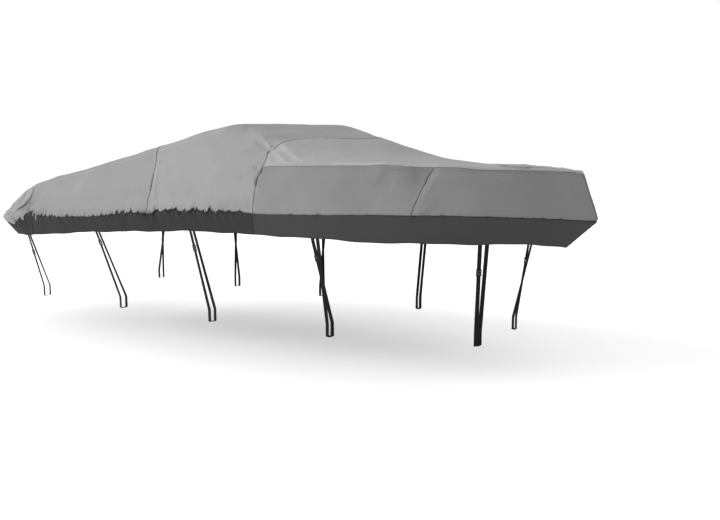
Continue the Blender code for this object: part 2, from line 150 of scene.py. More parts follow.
# How far a seam strays from its section line, as (strip, shift in sections)
SEAM_STRAYS = {
    "stern_fold": ((1.0, 0.18), (1.35, 0.22), (1.66, 0.25), (1.88, 0.29), (2.03, 0.33), (2.15, 0.38),
                   (2.30, 0.40), (2.45, 0.37), (2.61, 0.31), (2.80, 0.18), (3.00, 0.06), (4.0, 0.0)),
    "seam_a": ((1.0, 0.0), (1.22, -0.015), (1.46, -0.025), (1.72, 0.0), (1.97, 0.02), (2.15, 0.02),
               (2.40, 0.005), (2.64, -0.01), (2.85, -0.02), (3.1, -0.06), (3.4, 0.0), (4.0, 0.0)),
    "seam_b": ((0.0, -0.12), (1.0, 0.0), (1.10, -0.03), (1.58, -0.08), (1.69, -0.09), (1.79, -0.05),
               (1.90, 0.01), (2.06, 0.01), (2.27, -0.01), (2.47, -0.075), (2.53, -0.08), (2.58, 0.02),
               (2.82, 0.04), (3.06, 0.07), (3.16, 0.10), (3.36, 0.21), (3.48, 0.30), (3.63, 0.40),
               (3.86, 0.48), (4.0, 0.50)),
    "seam_c": ((1.0, -0.015), (1.2, -0.055), (1.4, -0.06), (1.54, -0.07), (1.7, -0.06), (1.85, -0.06),
               (2.0, -0.025), (2.5, 0.0), (4.0, 0.0)),
}
STRAY_REACH = 1.4  # sections to either side over which the cloth follows a seam

# How far the skirt's edge lies above the rub rail, as (section, metres)
SKIRT_CLIMB = (
    (3.60, 0.0), (3.74, 0.043), (3.86, 0.058), (3.94, 0.064), (4.06, 0.010), (4.30, -0.003),
    (4.45, -0.018), (4.90, -0.023), (5.25, -0.016), (5.60, -0.021), (6.00, -0.019), (6.25, -0.006),
    (6.60, 0.006), (6.87, 0.010), (6.95, -0.009), (7.00, -0.019), (7.10, -0.003), (7.30, 0.011),
    (7.50, 0.025), (7.75, 0.026), (7.84, -0.003), (7.91, 0.013), (7.97, -0.006), (8.10, 0.020),
    (8.20, -0.005), (8.40, 0.009), (8.53, -0.012), (8.67, 0.002), (8.81, -0.014), (8.92, 0.018),
    (9.02, -0.003), (9.60, 0.003), (9.75, -0.005), (9.90, -0.007), (10.18, -0.014), (10.95, -0.012),
    (11.60, -0.006), (12.40, 0.0), (14.20, 0.0), (15.00, -0.006), (17.00, -0.003),
)

# Gathers along the rub rail, where the skirt is drawn in under it: start and end count sections, and the
# rest is in metres
Zone = namedtuple("Zone", "start end pitch rise depth")
GATHER_ZONES = (
    Zone(0.15, 2.0, 0.110, 0.020, 0.0070),  # transom
    Zone(3.1, 3.7, 0.060, 0.022, 0.0090),  # corner
    Zone(3.7, 4.9, 0.075, 0.030, 0.0080),  # quarter
    Zone(4.9, 6.2, 0.090, 0.022, 0.0060),  # aft
    Zone(6.2, 7.6, 0.075, 0.036, 0.0080),  # seam A
    Zone(7.6, 8.7, 0.062, 0.042, 0.0100),  # mid
    Zone(8.7, 9.7, 0.085, 0.026, 0.0070),  # windscreen
    Zone(9.9, 13.2, 0.300, 0.006, 0.0030),  # fore
    Zone(13.2, 17.4, 0.220, 0.006, 0.0030),  # bow
)
PANEL_DRAW = 0.45  # share of the gathers' relief on the panels, whose cloth is stretched
# Each gather's rise is the zone's times GATHER_TALLEST times a power of a random share, its depth and pitch
# are random shares of the zone's, and its half width, lean and reach are random too
GATHER_SHARES, GATHER_POWER, GATHER_TALLEST = (0.15, 1.0), 1.5, 1.4
GATHER_DEPTHS, GATHER_PITCHES = (0.4, 1.3), (0.35, 1.65)
GATHER_HALF_WIDTHS, GATHER_LEANS, GATHER_REACHES = (0.012, 0.024), (-0.5, 0.5), (0.03, 0.12)
GATHER_WIDENS = 0.07  # metres from the rail at which a gather is twice as wide
FULLNESS = 0.45  # how full the cloth stands between gathers, as a share of their depth
FULLNESS_REACH = 0.09
EDGE_FADE = 0.10  # the seam comes back to the rail over this much at the stern's middle and at the stem
# Painted shade in the gathers: the depth at which it would be full, the most it gets, and its share on the
# panels
GATHER_SHADE_DEPTH, GATHER_DARKEST, PANEL_GATHER_SHADE = 0.016, 0.8, 0.4
# Painted shadow of pleats too small for the mesh, dark along the rail, thickest at the quarter: section and
# share
PLEAT_SHADE_SHARES = (
    (0.0, 0.4), (1.6, 0.5), (2.3, 0.2), (3.2, 0.6), (3.7, 1.0), (4.4, 0.8), (4.8, 0.5), (6.0, 0.6),
    (6.6, 1.0), (8.6, 1.0), (9.2, 0.7), (9.7, 0.3), (9.9, 0.0),
)
# Light cloth that hangs over the rub rail in tongues: section, drop and half width
Tongue = namedtuple("Tongue", "section drop half_width")
TONGUES = (
    Tongue(0.80, 0.030, 0.050),
    Tongue(2.35, 0.095, 0.155),
    Tongue(3.14, 0.078, 0.140),
    Tongue(3.55, 0.062, 0.042),
    Tongue(4.03, 0.036, 0.017),
    Tongue(4.16, 0.095, 0.017),
    Tongue(4.62, 0.014, 0.018),
)

# Across a crease: how fast it falls away, how round its tip is, how low its shoulders are, as a share of its
# height, and how far out, in half widths
FOLD_FALL, FOLD_TIP, FOLD_SHOULDER, FOLD_SHOULDER_AT = 1.7, 0.25, 0.25, 2.2
# Depth over half width at which a trough starts to get painted shade, and what more makes it as dark as it
# gets
SHADED_FOLD, DARKEST_FOLD = 0.60, 0.90
FOLD_REACH = 4  # half widths past which a crease isn't worked out
FOLD_FADE, FOLD_END = 0.22, 0.02  # share of its length over which it fades, and what is left at its ends
FOLD_STEPS = 6  # points on the surface from one point of its path to the next
PORT_SHIFT, PORT_SHARES = 0.06, (0.5, 0.95)  # how creases differ to port: moved by up to, and as high as
# Creases: path in (section, strip), half width and height in metres, and a height below zero is a trough
Fold = namedtuple("Fold", "path half_width height")
FOLDS = (
    # Stern corner
    Fold(((3.28, 2.74), (3.37, 2.44), (3.41, 2.28), (3.38, 2.14), (3.32, 2.02), (3.27, 1.86), (3.20, 1.70),
          (3.08, 1.48)), 0.011, -0.017),
    Fold(((3.12, 2.68), (3.24, 2.38), (3.26, 2.14), (3.18, 1.96), (3.08, 1.70), (2.98, 1.40)), 0.020,
          0.011),
    Fold(((3.10, 1.42), (2.92, 1.24), (2.70, 1.10)), 0.014, -0.012),
    Fold(((3.04, 1.26), (2.90, 1.10), (2.76, 0.95)), 0.018, 0.008),
    Fold(((3.50, 2.62), (3.55, 2.30), (3.57, 2.00), (3.52, 1.70)), 0.030, 0.004),
    Fold(((3.52, 2.22), (3.60, 2.00), (3.70, 1.70)), 0.012, -0.009),
    Fold(((3.72, 1.60), (3.80, 1.30), (3.86, 1.10)), 0.020, -0.008),
    Fold(((2.50, 2.70), (2.62, 2.30), (2.66, 1.95)), 0.020, 0.008),
    Fold(((2.42, 2.00), (2.55, 1.72), (2.60, 1.45)), 0.020, -0.009),
    Fold(((2.84, 2.60), (2.92, 2.25), (2.92, 1.95)), 0.022, -0.006),
    Fold(((2.35, 1.35), (2.66, 1.28), (2.92, 1.42)), 0.018, 0.009),
    Fold(((2.30, 1.16), (2.55, 1.05), (2.80, 1.10)), 0.016, -0.010),
    # Seam A
    Fold(((7.12, 1.30), (7.12, 1.90), (7.10, 2.45)), 0.030, 0.006),
    Fold(((7.01, 2.28), (7.03, 1.95), (7.00, 1.68)), 0.010, -0.010),
    Fold(((7.11, 2.44), (7.14, 2.54)), 0.014, -0.007),
    Fold(((7.06, 1.06), (7.16, 1.22), (7.24, 1.44)), 0.022, 0.007),
    Fold(((6.95, 2.88), (6.97, 2.96)), 0.014, -0.007),
    # Seam B at the windscreen's corner
    Fold(((9.90, 2.44), (9.93, 2.52), (9.97, 2.56)), 0.012, -0.013),
    Fold(((9.46, 2.67), (9.60, 2.71), (9.76, 2.66), (9.93, 2.52)), 0.018, -0.009),
    Fold(((9.54, 2.92), (9.66, 2.85), (9.80, 2.77), (9.98, 2.60)), 0.028, 0.010),
    Fold(((9.34, 2.46), (9.61, 2.48), (9.88, 2.50)), 0.020, -0.004),
    Fold(((9.30, 2.62), (9.55, 2.60), (9.84, 2.54)), 0.026, 0.004),
    # Seam B at the end of the bow rail
    Fold(((9.93, 1.56), (9.912, 1.68), (9.945, 1.79)), 0.013, -0.015),
    Fold(((9.965, 1.82), (10.01, 1.90), (10.012, 2.00)), 0.013, -0.015),
    Fold(((9.80, 1.84), (9.90, 1.74), (9.93, 1.62)), 0.020, 0.004),
    Fold(((9.70, 2.06), (9.84, 2.02), (9.98, 1.95)), 0.014, -0.007),
    Fold(((9.68, 1.96), (9.82, 1.92), (9.93, 1.86)), 0.018, 0.004),
    Fold(((9.57, 2.24), (9.66, 2.09), (9.70, 1.94)), 0.024, -0.003),
    Fold(((9.80, 1.50), (9.90, 1.35), (9.96, 1.18)), 0.024, 0.005),
    # Foredeck and top beside the windscreen
    Fold(((10.02, 2.54), (10.12, 2.44), (10.23, 2.33), (10.46, 2.09)), 0.028, 0.007),
    Fold(((10.12, 2.63), (10.28, 2.48), (10.54, 2.19)), 0.018, -0.002),
    Fold(((10.09, 2.76), (10.30, 2.56), (10.64, 2.22)), 0.028, 0.007),
    Fold(((10.02, 2.40), (10.08, 2.22), (10.16, 2.08)), 0.030, 0.004),
    Fold(((9.10, 2.93), (9.22, 3.00)), 0.040, -0.005),
    # Bow rail
    Fold(((10.2, 2.06), (11.0, 2.07), (12.0, 2.07), (13.0, 2.07), (14.0, 2.08), (15.6, 2.08), (17.0, 2.08)),
          0.026, 0.009),
    Fold(((10.6, 1.92), (11.6, 1.90), (12.3, 1.90), (13.0, 1.92), (14.0, 1.95), (15.6, 1.95), (17.4, 1.95)),
          0.030, -0.008),
    Fold(((12.1, 1.88), (12.6, 1.82), (12.95, 1.78)), 0.100, -0.014),
    Fold(((11.8, 2.0), (12.5, 2.0), (13.1, 2.0), (13.9, 2.0)), 0.075, 0.020),
    # Bow deck
    Fold(((14.10, 3.10), (14.20, 2.85), (14.26, 2.62)), 0.045, 0.012),
    Fold(((14.36, 2.68), (14.60, 2.45), (14.84, 2.20)), 0.028, -0.018),
    Fold(((15.00, 3.10), (15.15, 2.90), (15.30, 2.80)), 0.045, 0.004),
    Fold(((14.88, 2.08), (15.22, 2.50), (15.66, 2.66), (16.08, 2.58), (16.38, 2.30)), 0.026, -0.012),
    Fold(((15.1, 2.20), (15.7, 2.30), (16.3, 2.16)), 0.034, 0.009),
    # Seam C
    Fold(((13.06, 1.05), (13.22, 1.22)), 0.018, 0.005),
    Fold(((13.20, 1.04), (13.38, 1.16)), 0.016, -0.005),
    Fold(((13.07, 1.45), (13.20, 1.62)), 0.020, -0.003),
    # Side panels
    Fold(((11.10, 1.62), (11.50, 1.46), (12.00, 1.40)), 0.080, -0.005),
    Fold(((12.10, 1.72), (12.45, 1.60)), 0.070, -0.004),
)
# Small crumples strewn over a patch: sections and strips from and to, how many, their reach in sections
# and strips, half width and height
Patch = namedtuple("Patch", "sections strips count reach half_width height")
PATCHES = (
    Patch((2.15, 3.00), (1.15, 2.70), 16, (0.22, 0.26), 0.016, 0.006),  # stern corner
    Patch((0.0, 2.1), (1.05, 1.90), 14, (0.35, 0.30), 0.024, 0.007),  # transom low
    Patch((0.0, 2.6), (2.0, 3.10), 8, (0.45, 0.30), 0.040, 0.007),  # transom high
    Patch((3.4, 4.5), (1.10, 1.60), 8, (0.20, 0.20), 0.022, 0.005),  # quarter
    Patch((6.85, 7.35), (1.10, 3.10), 7, (0.16, 0.16), 0.018, 0.003),  # seam A
    Patch((9.0, 10.7), (1.95, 2.95), 8, (0.22, 0.20), 0.026, 0.0025),  # screen corner
    Patch((9.3, 9.95), (1.15, 1.90), 6, (0.20, 0.22), 0.022, 0.003),  # screen foot
    Patch((13.6, 17.2), (2.20, 3.30), 8, (0.40, 0.22), 0.024, 0.004),  # bow deck
    Patch((13.0, 17.2), (1.08, 1.90), 7, (0.30, 0.20), 0.040, 0.003),  # bow side
)
# A crumple's ends lie up to CRUMPLE_HALF of its patch's reach from its middle, it bends by up to CRUMPLE_BEND
# of that reach, and its height and half width are random shares of the patch's
CRUMPLE_HALF, CRUMPLE_BEND = 0.5, 0.12
CRUMPLE_HEIGHTS, CRUMPLE_HALF_WIDTHS = (0.4, 1.1), (0.7, 1.3)
# Painted shade, and below zero painted highlights, laid on where the mesh's own shading falls short: part
# of the names of the pieces that have it, path in (section, strip), half width in metres, and its share of
# the darkest painted shade, or below zero of painted highlight
PaintedShade = namedtuple("PaintedShade", "pieces path half_width share")
PAINTED_SHADES = (
    PaintedShade("_panel", ((3.37, 2.44), (3.41, 2.28), (3.38, 2.14), (3.27, 1.86), (3.20, 1.70)), 0.013, 0.50),
    PaintedShade("aft_panel", ((4.40, 1.08), (6.90, 1.08)), 0.060, 0.20),
    PaintedShade("mid_panel", ((7.10, 1.10), (9.00, 1.10)), 0.060, 0.14),
    PaintedShade("_panel", ((9.94, 1.55), (10.00, 1.05)), 0.014, -0.60),
    PaintedShade("_skirt_", ((9.88, 0.0), (10.0, 1.0)), 0.014, -0.50),
    PaintedShade("_panel", ((7.005, 2.40), (7.02, 2.15), (7.02, 1.97), (7.0, 1.72), (6.975, 1.46), (6.985, 1.2)),
          0.012, -0.35),
    PaintedShade("_panel", ((9.94, 2.45), (9.99, 2.27), (10.01, 2.08)), 0.014, -0.35),
    PaintedShade("aft_panel", ((3.60, 1.45), (3.90, 1.25), (4.40, 1.12)), 0.060, 0.30),
    PaintedShade("mid_panel", ((9.00, 1.10), (9.75, 1.15)), 0.110, 0.28),
    PaintedShade("mid_panel", ((8.75, 3.00), (9.00, 2.95)), 0.100, 0.20),
    PaintedShade("mid_panel", ((9.40, 3.05), (9.54, 3.12), (9.60, 3.40)), 0.110, -0.32),
    PaintedShade("mid_panel", ((9.84, 2.80), (9.90, 2.88), (9.98, 2.90)), 0.050, -0.35),
    PaintedShade("_panel", ((10.02, 2.66), (10.05, 2.85), (10.08, 3.06), (10.21, 3.36)), 0.016, -0.40),
    PaintedShade("foredeck_panel", ((10.04, 2.72), (10.14, 2.70), (10.25, 2.66)), 0.050, -0.25),
    PaintedShade("foredeck_panel", ((11.35, 2.06), (11.70, 2.05), (12.15, 2.03)), 0.030, -0.28),
    PaintedShade("mid_panel", ((9.77, 2.00), (9.86, 1.86), (9.87, 1.72)), 0.040, 0.25),
    PaintedShade("side_panel", ((11.60, 1.50), (12.20, 1.50), (12.80, 1.50)), 0.400, 0.16),
    PaintedShade("side_panel", ((12.72, 1.84), (12.96, 1.80)), 0.120, 0.50),
    PaintedShade("bow_panel_", ((13.03, 1.95), (13.01, 1.80), (13.0, 1.55), (13.0, 1.10)), 0.026, -0.40),
    PaintedShade("_panel_", ((12.975, 2.00), (12.94, 1.85), (12.93, 1.54), (12.945, 1.20), (12.985, 1.00)), 0.012,
          -0.35),
    PaintedShade("foredeck_panel", ((14.50, 2.80), (14.62, 2.70), (14.74, 2.58), (14.86, 2.44), (14.92, 2.30)),
          0.065, 1.0),
    PaintedShade("foredeck_panel", ((15.20, 2.70), (15.43, 2.84), (15.67, 2.88), (16.20, 2.86), (16.40, 2.72)),
          0.065, 1.0),
    PaintedShade("_panel", ((9.97, 2.57), (10.03, 2.60)), 0.014, -0.50),
    PaintedShade("_panel", ((6.94, 2.90), (7.00, 2.40)), 0.014, -0.35),
    PaintedShade("foredeck_panel", ((10.04, 2.52), (10.12, 2.44), (10.23, 2.33), (10.46, 2.09)), 0.022, -0.25),
    PaintedShade("foredeck_panel", ((10.09, 2.76), (10.30, 2.56), (10.64, 2.22)), 0.022, -0.25),
    PaintedShade("bow_panel_", ((LAST, 1.0), (LAST, 2.0)), 0.016, 0.80),
    PaintedShade("fore_skirt_", ((LAST, 0.0), (LAST, 1.0)), 0.016, 0.80),
    PaintedShade("stern_skirt", ((3.45, 0.5), (4.15, 0.5)), 0.150, 0.55),
)
PALEST = -0.6  # no place gets more painted highlight than this
# Broad unevenness of loose cloth: wavelength and height
SWELL_WAVELENGTH, SWELL_HEIGHT = 0.75, 0.0040
RIPPLE_WAVELENGTH, RIPPLE_HEIGHT = 0.22, 0.0011
SWELL_SINES, SWELL_SPREAD = 12, (0.7, 1.5)  # how many sines, and their lengths as shares of the wavelength
SKIRT_SWELL = 0.5  # share of the unevenness that the skirts keep
STEM_FADE = 0.4  # sections before the stem over which folds and unevenness fade

GATHER_SEED, CRUMPLE_SEED, PORT_SEED, SWELL_SEED, RIPPLE_SEED = 41, 73, 5, 11, 12

# Sewn seams: a lap with a slope at its edge, a groove, and puckers that fade with distance
LAP_WIDTH = 0.020
LAP_RISE = 0.0022
LAP_SLOPE = 0.006
GROOVE_DEPTH = 0.0050
GROOVE_HALF_WIDTH = 0.0045
PUCKER_LENGTH = 0.046
PUCKER_HEIGHT = 0.0014
PUCKER_REACH = 0.045
# Seams darken at their edge: dirt, and painted shadow of a groove deeper than the mesh shades
SEAM_DARK_REACH = 0.0060
SEAM_CHANGE = 0.31  # metres along a seam over which its groove and its dirt and painted shadow change
PRESSED = 0.12  # share of the groove and of its dirt and painted shadow where a seam is pressed flat
# Elsewhere the least share, and how much a seam's slow change adds to it
GROOVE_SHARE, SEAM_DARK_SHARE = (0.6, 0.8), (0.35, 0.65)
# Rows of points this far from a sewn edge
EDGE_ROWS = np.array([0.0, 0.003, 0.006, 0.010, 0.016, 0.021, 0.028, 0.037])

# The skirts run this far up behind the panels
UNDERLAP = np.array([0.006, 0.012])

# Hem: how high it is turned up, how far below it a tie may first bend, and how much its edge waves
HEM_DEPTH = 0.035
HEM_CLEAR = 0.028
HEM_WAVE = 0.004
HEM_RATES = (7.3, 17.1)  # radians to a metre of its two waves
HEM_SLACK = 0.0005  # between its two layers
HEM_BEND = 0.003  # height at which it starts to turn
HEM_MIDDLE, HEM_ROUND = 0.001, 0.0012  # where the middle of its half circle is, and how deep that hangs
HEM_TURN = 0.004  # cloth that the turn takes
# Near the ties the hem keeps its line: over HOLD_FLAT - 1 of the reach along it, and below HOLD_TOP - 1 of
# the height, and it is free again one reach and one height farther
HOLD_REACH, HOLD_FLAT = 0.055, 1.6
HOLD_HEIGHT, HOLD_TOP = 0.06, 1.5

# ---------------------------------------------------------------- ties

WEBBING_WIDTH = 0.038
WEBBING_THICKNESS = 0.0018
WEBBING_SEAT = 0.0016
TAB_SPACING = 0.050
BUCKLE_LENGTH = 0.066
BUCKLE_WIDTH = 0.050
BUCKLE_THICKNESS = 0.013
BAR_CLEAR = 0.0050  # from a buckle's middle to the webbing that passes over its bar
SHARP = 40  # degrees between two faces of a buckle past which their edge stays sharp
# A tie turns about its own line by up to WAVER, in radians, in a wave of WAVER_RATE radians to a metre, which
# starts WAVER_PHASE later from one tie to the next
WAVER, WAVER_RATE, WAVER_PHASE = 0.10, 5.1, 1.3
WEBBING_STEP = 0.012
BEAM_TOP = 0.470
BEAM_BOTTOM = 0.345
BEAM_WIDTH = 0.076
BEAM_CORNER = 0.012
# x of the sewn end on the hem, x and y of the beam, drop of the buckle below the hem, and the leg of the tie
# that goes up to it
Tie = namedtuple("Tie", "name hem_x beam_x beam_y buckle_drop buckle_leg")
TIES = (
    Tie("stern", -3.36, -3.30, 0.93, 0.16, "outer"),
    Tie("aft", -1.98, -1.82, 0.95, 0.07, "outer"),
    Tie("mid", -0.46, -0.40, 0.96, 0.12, "outer"),
    Tie("fore", 1.04, 1.04, 0.86, 0.14, "inner"),
    Tie("bow", 2.50, 2.37, 0.43, 0.20, "outer"),
)

# ---------------------------------------------------------------- camera and studio

CAMERA_PLACE = (5.150, -6.518, -0.475)
CAMERA_AZIMUTH = 33.644
CAMERA_PITCH = 6.926
CAMERA_LENS = 37.5
CAMERA_SENSOR = 36
CAMERA_FAR = 200

# The key light comes from off the stern on the starboard side, spread over this many degrees
KEY_FROM = (-0.80, -0.50, 0.33)
KEY_SPREAD = 35

FLOOR_RADII = (0.5, 6.0, 14.0, 40.0)
FLOOR_SIDES = 96


def linear(hex_colour):
    """sRGB hex to linear red, green, blue."""
    parts = [int(hex_colour[i : i + 2], 16) / 255 for i in (1, 3, 5)]
    return tuple(c / 12.92 if c <= 0.04045 else ((c + 0.055) / 1.055) ** 2.4 for c in parts)


def length_setting(name, description, default, low, high):
    """A property in metres."""
    return bpy.props.FloatProperty(
        name=name, description=description, default=default, min=low, max=high, unit="LENGTH"
    )


def amount_setting(name, description, default, high):
    """A property that is a share or a strength, from 0 up."""
    return bpy.props.FloatProperty(name=name, description=description, default=default, min=0, max=high)


def colour_setting(name, description, default):
    """A property that is a colour, with its default as sRGB hex."""
    return bpy.props.FloatVectorProperty(
        name=name, description=description, default=linear(default), min=0, max=1, subtype="COLOR"
    )


class CoverSettings(bpy.types.PropertyGroup):
    """Sizes and colours of the cloth."""

    thickness: length_setting("Cloth thickness", "Thickness of one layer of cloth", 0.0009, 0.0003, 0.002)
    cell: length_setting("Cell", "Size of a grid cell in the middle of a panel", 0.0130, 0.006, 0.05)
    folds: amount_setting("Folds", "Height of the folds and gathers, as a share of their own", 1.0, 2)
    thread: length_setting(
        "Thread spacing", "Spacing of threads as drawn, coarser than the real 0.5 mm", 0.0022, 0.0004, 0.01
    )
    panel_colour: colour_setting("Panels", "Colour of the top panels", "#848484")
    # Painted shade: the side and bow panels are the top's cloth, painted darker for the light that their faces
    # get
    side_colour: colour_setting("Sides", "Colour of the side and bow panels", "#767676")
    # Painted shade: the skirt is the same cloth tucked in under the rub rail, painted dark for the shade there
    skirt_colour: colour_setting("Skirt", "Colour of the skirt", "#3B3B3B")


class TieSettings(bpy.types.PropertyGroup):
    """Colours of the webbing and buckles."""

    webbing_colour: colour_setting("Webbing", "Colour of the ties and tabs", "#0B0B0D")
    buckle_colour: colour_setting("Buckles", "Colour of the buckles", "#0C0C0E")


class StageSettings(bpy.types.PropertyGroup):
    """Floor and light."""

    floor_colour: colour_setting("Floor", "Colour of the floor", "#FAFAFA")
    sky: amount_setting("Ambient light", "Strength of the light from all round", 1.05, 3)
    key: amount_setting("Key light", "Strength of the soft light from off the stern", 3.1, 20)


# ---------------------------------------------------------------- the cover's surface


def section_lines():
    """(sections, 5, 3): hem, rub rail, crease, shoulder and ridge of every section, port side."""
    return np.array([
        [row.hem, row.rub, row.crease, row.shoulder, (row.ridge[0], 0.0, row.ridge[1])] for row in SECTIONS
    ])


# The lines with one section more at either end, across the centreline, and their slopes along the rub rail
LINES = section_lines()
RINGED = np.concatenate([LINES[1:2] * MIRROR, LINES, LINES[-2:-1] * MIRROR])
CHORDS = np.linalg.norm(np.diff(RINGED[:, RUB], axis=0), axis=1)[:, None, None]
SLOPES = np.diff(RINGED, axis=0) / CHORDS
TANGENTS = (SLOPES[:-1] * CHORDS[1:] + SLOPES[1:] * CHORDS[:-1]) / (CHORDS[1:] + CHORDS[:-1])
SOFT = np.array([row.soft for row in SECTIONS])


def lines_at(t):
    """The five lines at each t, which counts sections: a Hermite cubic through the sections."""
    low = np.clip(np.floor(t).astype(int), 0, LAST - 1)
    f = (t - low)[:, None, None]
    length = CHORDS[1:-1][low]
    return (
        (2 * f**3 - 3 * f**2 + 1) * LINES[low]
        + (f**3 - 2 * f**2 + f) * length * TANGENTS[low]
        + (3 * f**2 - 2 * f**3) * LINES[low + 1]
        + (f**3 - f**2) * length * TANGENTS[low + 1]
    )


def strays(t, s):
    """Moves t so that each seam runs where its cloth was pulled: a bump of (1 - q^2)^2 around its section."""
    moved = t.copy()
    for name, table in SEAM_STRAYS.items():
        strips, shifts = zip(*table)
        q = np.clip(abs(t - ROW[name]) / STRAY_REACH, 0, 1)
        moved += np.interp(s, strips, shifts) * (1 - q**2) ** 2
    return moved


def smooth_surface(t, s, side):
    """Outer face before folds, for arrays t and s of one shape.

    Straight strips join the five lines, a parabola replaces each corner, the cloth sags inward between its
    supports, and the windscreen's lean lifts the port side.
    """
    shape = np.shape(t)
    t, s = np.ravel(t), np.ravel(s)
    lines = lines_at(t)
    lines = np.concatenate([lines, (lines[:, SHOULDER] * MIRROR)[:, None]], axis=1)
    low = np.clip(np.floor(s).astype(int), 0, RIDGE - 1)
    every = np.arange(len(t))
    f = (s - low)[:, None]
    points = lines[every, low] * (1 - f) + lines[every, low + 1] * f
    reaches = {
        RUB: RUB_SOFT,
        CREASE: np.interp(t, *zip(*CREASE_SOFT)),
        SHOULDER: np.interp(t, range(LAST + 1), SOFT),
        RIDGE: RIDGE_SOFT,
    }
    for line, reach in reaches.items():
        turn = (lines[:, line + 1] - lines[:, line]) - (lines[:, line] - lines[:, line - 1])
        near = np.clip(reach - abs(s - line), 0, None) ** 2 / (4 * reach)
        points = points + turn * near[:, None]
    side_sag = SIDE_SAG * np.sin(np.pi * np.clip(s - RUB, 0, 1)) ** 2
    top_sag = TOP_SAG * np.sin(np.pi * np.clip(s - CREASE, 0, 1)) ** 2
    aft = np.clip((ROW["windscreen"] - t) / 2, 0, 1) * np.clip(t - ROW["quarter"], 0, 1)
    fore = np.clip(t - ROW["seam_b"], 0, 1) * np.clip((ROW["fore_deck"] - t) / 2, 0, 1)
    points[:, 1] -= aft * (side_sag + top_sag) + fore * (FORE_SIDE_SAG * side_sag + top_sag)
    points[:, 1] *= side
    rise = np.clip((points[:, 2] - LEAN_FROM) / LEAN_OVER, 0, 1)
    rise = rise * np.exp(-(((points[:, 0] - LEAN_CENTRE) / LEAN_REACH) ** 2))
    points[:, 2] += LEAN * points[:, 1] * rise + GROUND
    return points.reshape(*shape, 3)


def leaning_cross(t, s, side):
    """Vectors across the surface from small steps in t and s, kept a little off the centreline."""
    step, inset = 1e-3, 0.02
    t = np.clip(t, inset, LAST - inset)
    s = np.clip(s, HEM + step, RIDGE - inset)
    along = smooth_surface(t + step, s, side) - smooth_surface(t - step, s, side)
    up = smooth_surface(t, s + step, side) - smooth_surface(t, s - step, side)
    return np.cross(along, up) * -side


def outward(t, s, side):
    """Outward unit normals. On the centreline both halves share one that doesn't lean across it."""
    normals = leaning_cross(t, s, side)
    shared = (normals + leaning_cross(t, s, -side) * MIRROR) * (1, 0, 1)
    centre = (t <= 0) | (t >= LAST) | (s >= RIDGE)
    normals = np.where(centre[..., None], shared, normals)
    return normals / np.linalg.norm(normals, axis=-1, keepdims=True)


RUB_SAMPLES = 40  # to a section
DENSE_T = np.linspace(0, LAST, RUB_SAMPLES * LAST + 1)
RUB_LINE = smooth_surface(DENSE_T, np.full(len(DENSE_T), float(RUB)), 1)
RUB_LENGTH = np.append(0, np.cumsum(np.linalg.norm(np.diff(RUB_LINE, axis=0), axis=1)))


def rub_metres(t):
    """Metres along the rub rail from the middle of the stern."""
    return np.interp(t, DENSE_T, RUB_LENGTH)


# ---------------------------------------------------------------- relief


def swell(points, wavelength, seed):
    """Smooth unevenness, about -1 to 1: a sum of sines with seeded directions, lengths and phases."""
    rng = np.random.default_rng(seed)
    total = np.zeros(points.shape[:-1])
    for _ in range(SWELL_SINES):
        way = rng.normal(size=3)
        way /= np.linalg.norm(way)
        length = wavelength * rng.uniform(*SWELL_SPREAD)
        total += np.sin(points @ way * (2 * np.pi / length) + rng.uniform(0, 2 * np.pi))
    return total / math.sqrt(SWELL_SINES / 2)


def gathers(side):
    """(n, 6) rows of place along the rub rail, rise, half width, depth, lean and reach, seeded by side.

    The rise is a power of a random share, so that a few gathers stand high among many low ones.
    """
    rng = np.random.default_rng(GATHER_SEED + side)
    rows = []
    for zone in GATHER_ZONES:
        place, end = rub_metres(zone.start), rub_metres(zone.end)
        while place < end:
            rise = zone.rise * (rng.uniform(*GATHER_SHARES) ** GATHER_POWER * GATHER_TALLEST)
            half_width, depth = rng.uniform(*GATHER_HALF_WIDTHS), zone.depth * rng.uniform(*GATHER_DEPTHS)
            lean, reach = rng.uniform(*GATHER_LEANS), rng.uniform(*GATHER_REACHES)
            rows.append((place, rise, half_width, depth, lean, reach))
            place += zone.pitch * rng.uniform(*GATHER_PITCHES)
    return np.array(rows)


GATHERS = {side: gathers(side) for side in SIDES.values()}


def rub_edge(t, side):
    """How far the seam between panels and skirt lies above the rub rail, in metres.

    A table gives its course, each gather adds a peak of exp(-q^2), and each tongue of panel cloth a drop of
    exp(-q^4), with q the distance along the rail in half widths.
    """
    place = rub_metres(t)
    rise = np.interp(t, *zip(*SKIRT_CLIMB))
    for centre, height, half, *_ in GATHERS[side]:
        rise = rise + height * np.exp(-(((place - centre) / half) ** 2))
    for tongue in TONGUES:
        q = (place - rub_metres(tongue.section)) / tongue.half_width
        rise -= tongue.drop * np.exp(-(q**4))
    ends = np.clip(place / EDGE_FADE, 0, 1) * np.clip((RUB_LENGTH[-1] - place) / EDGE_FADE, 0, 1)
    return rise * ends


def gather_relief(t, above, side):
    """Troughs that run up and down from each gather and widen as they fade, with full cloth between them.

    Across a trough the depth falls as exp(-q^2), and along it as exp(-distance from the rail).
    """
    place = rub_metres(t)
    total = np.zeros(t.shape)
    far = abs(above)
    for centre, _, half, depth, lean, reach in GATHERS[side]:
        width = half * (1 + far / GATHER_WIDENS)
        q = (place - centre - lean * far) / width
        total -= depth * np.exp(-(q**2) - far / reach)
    middles, depths = zip(*(((zone.start + zone.end) / 2, zone.depth) for zone in GATHER_ZONES))
    fullness = FULLNESS * np.interp(t, middles, depths)
    return total + fullness * np.exp(-far / FULLNESS_REACH)


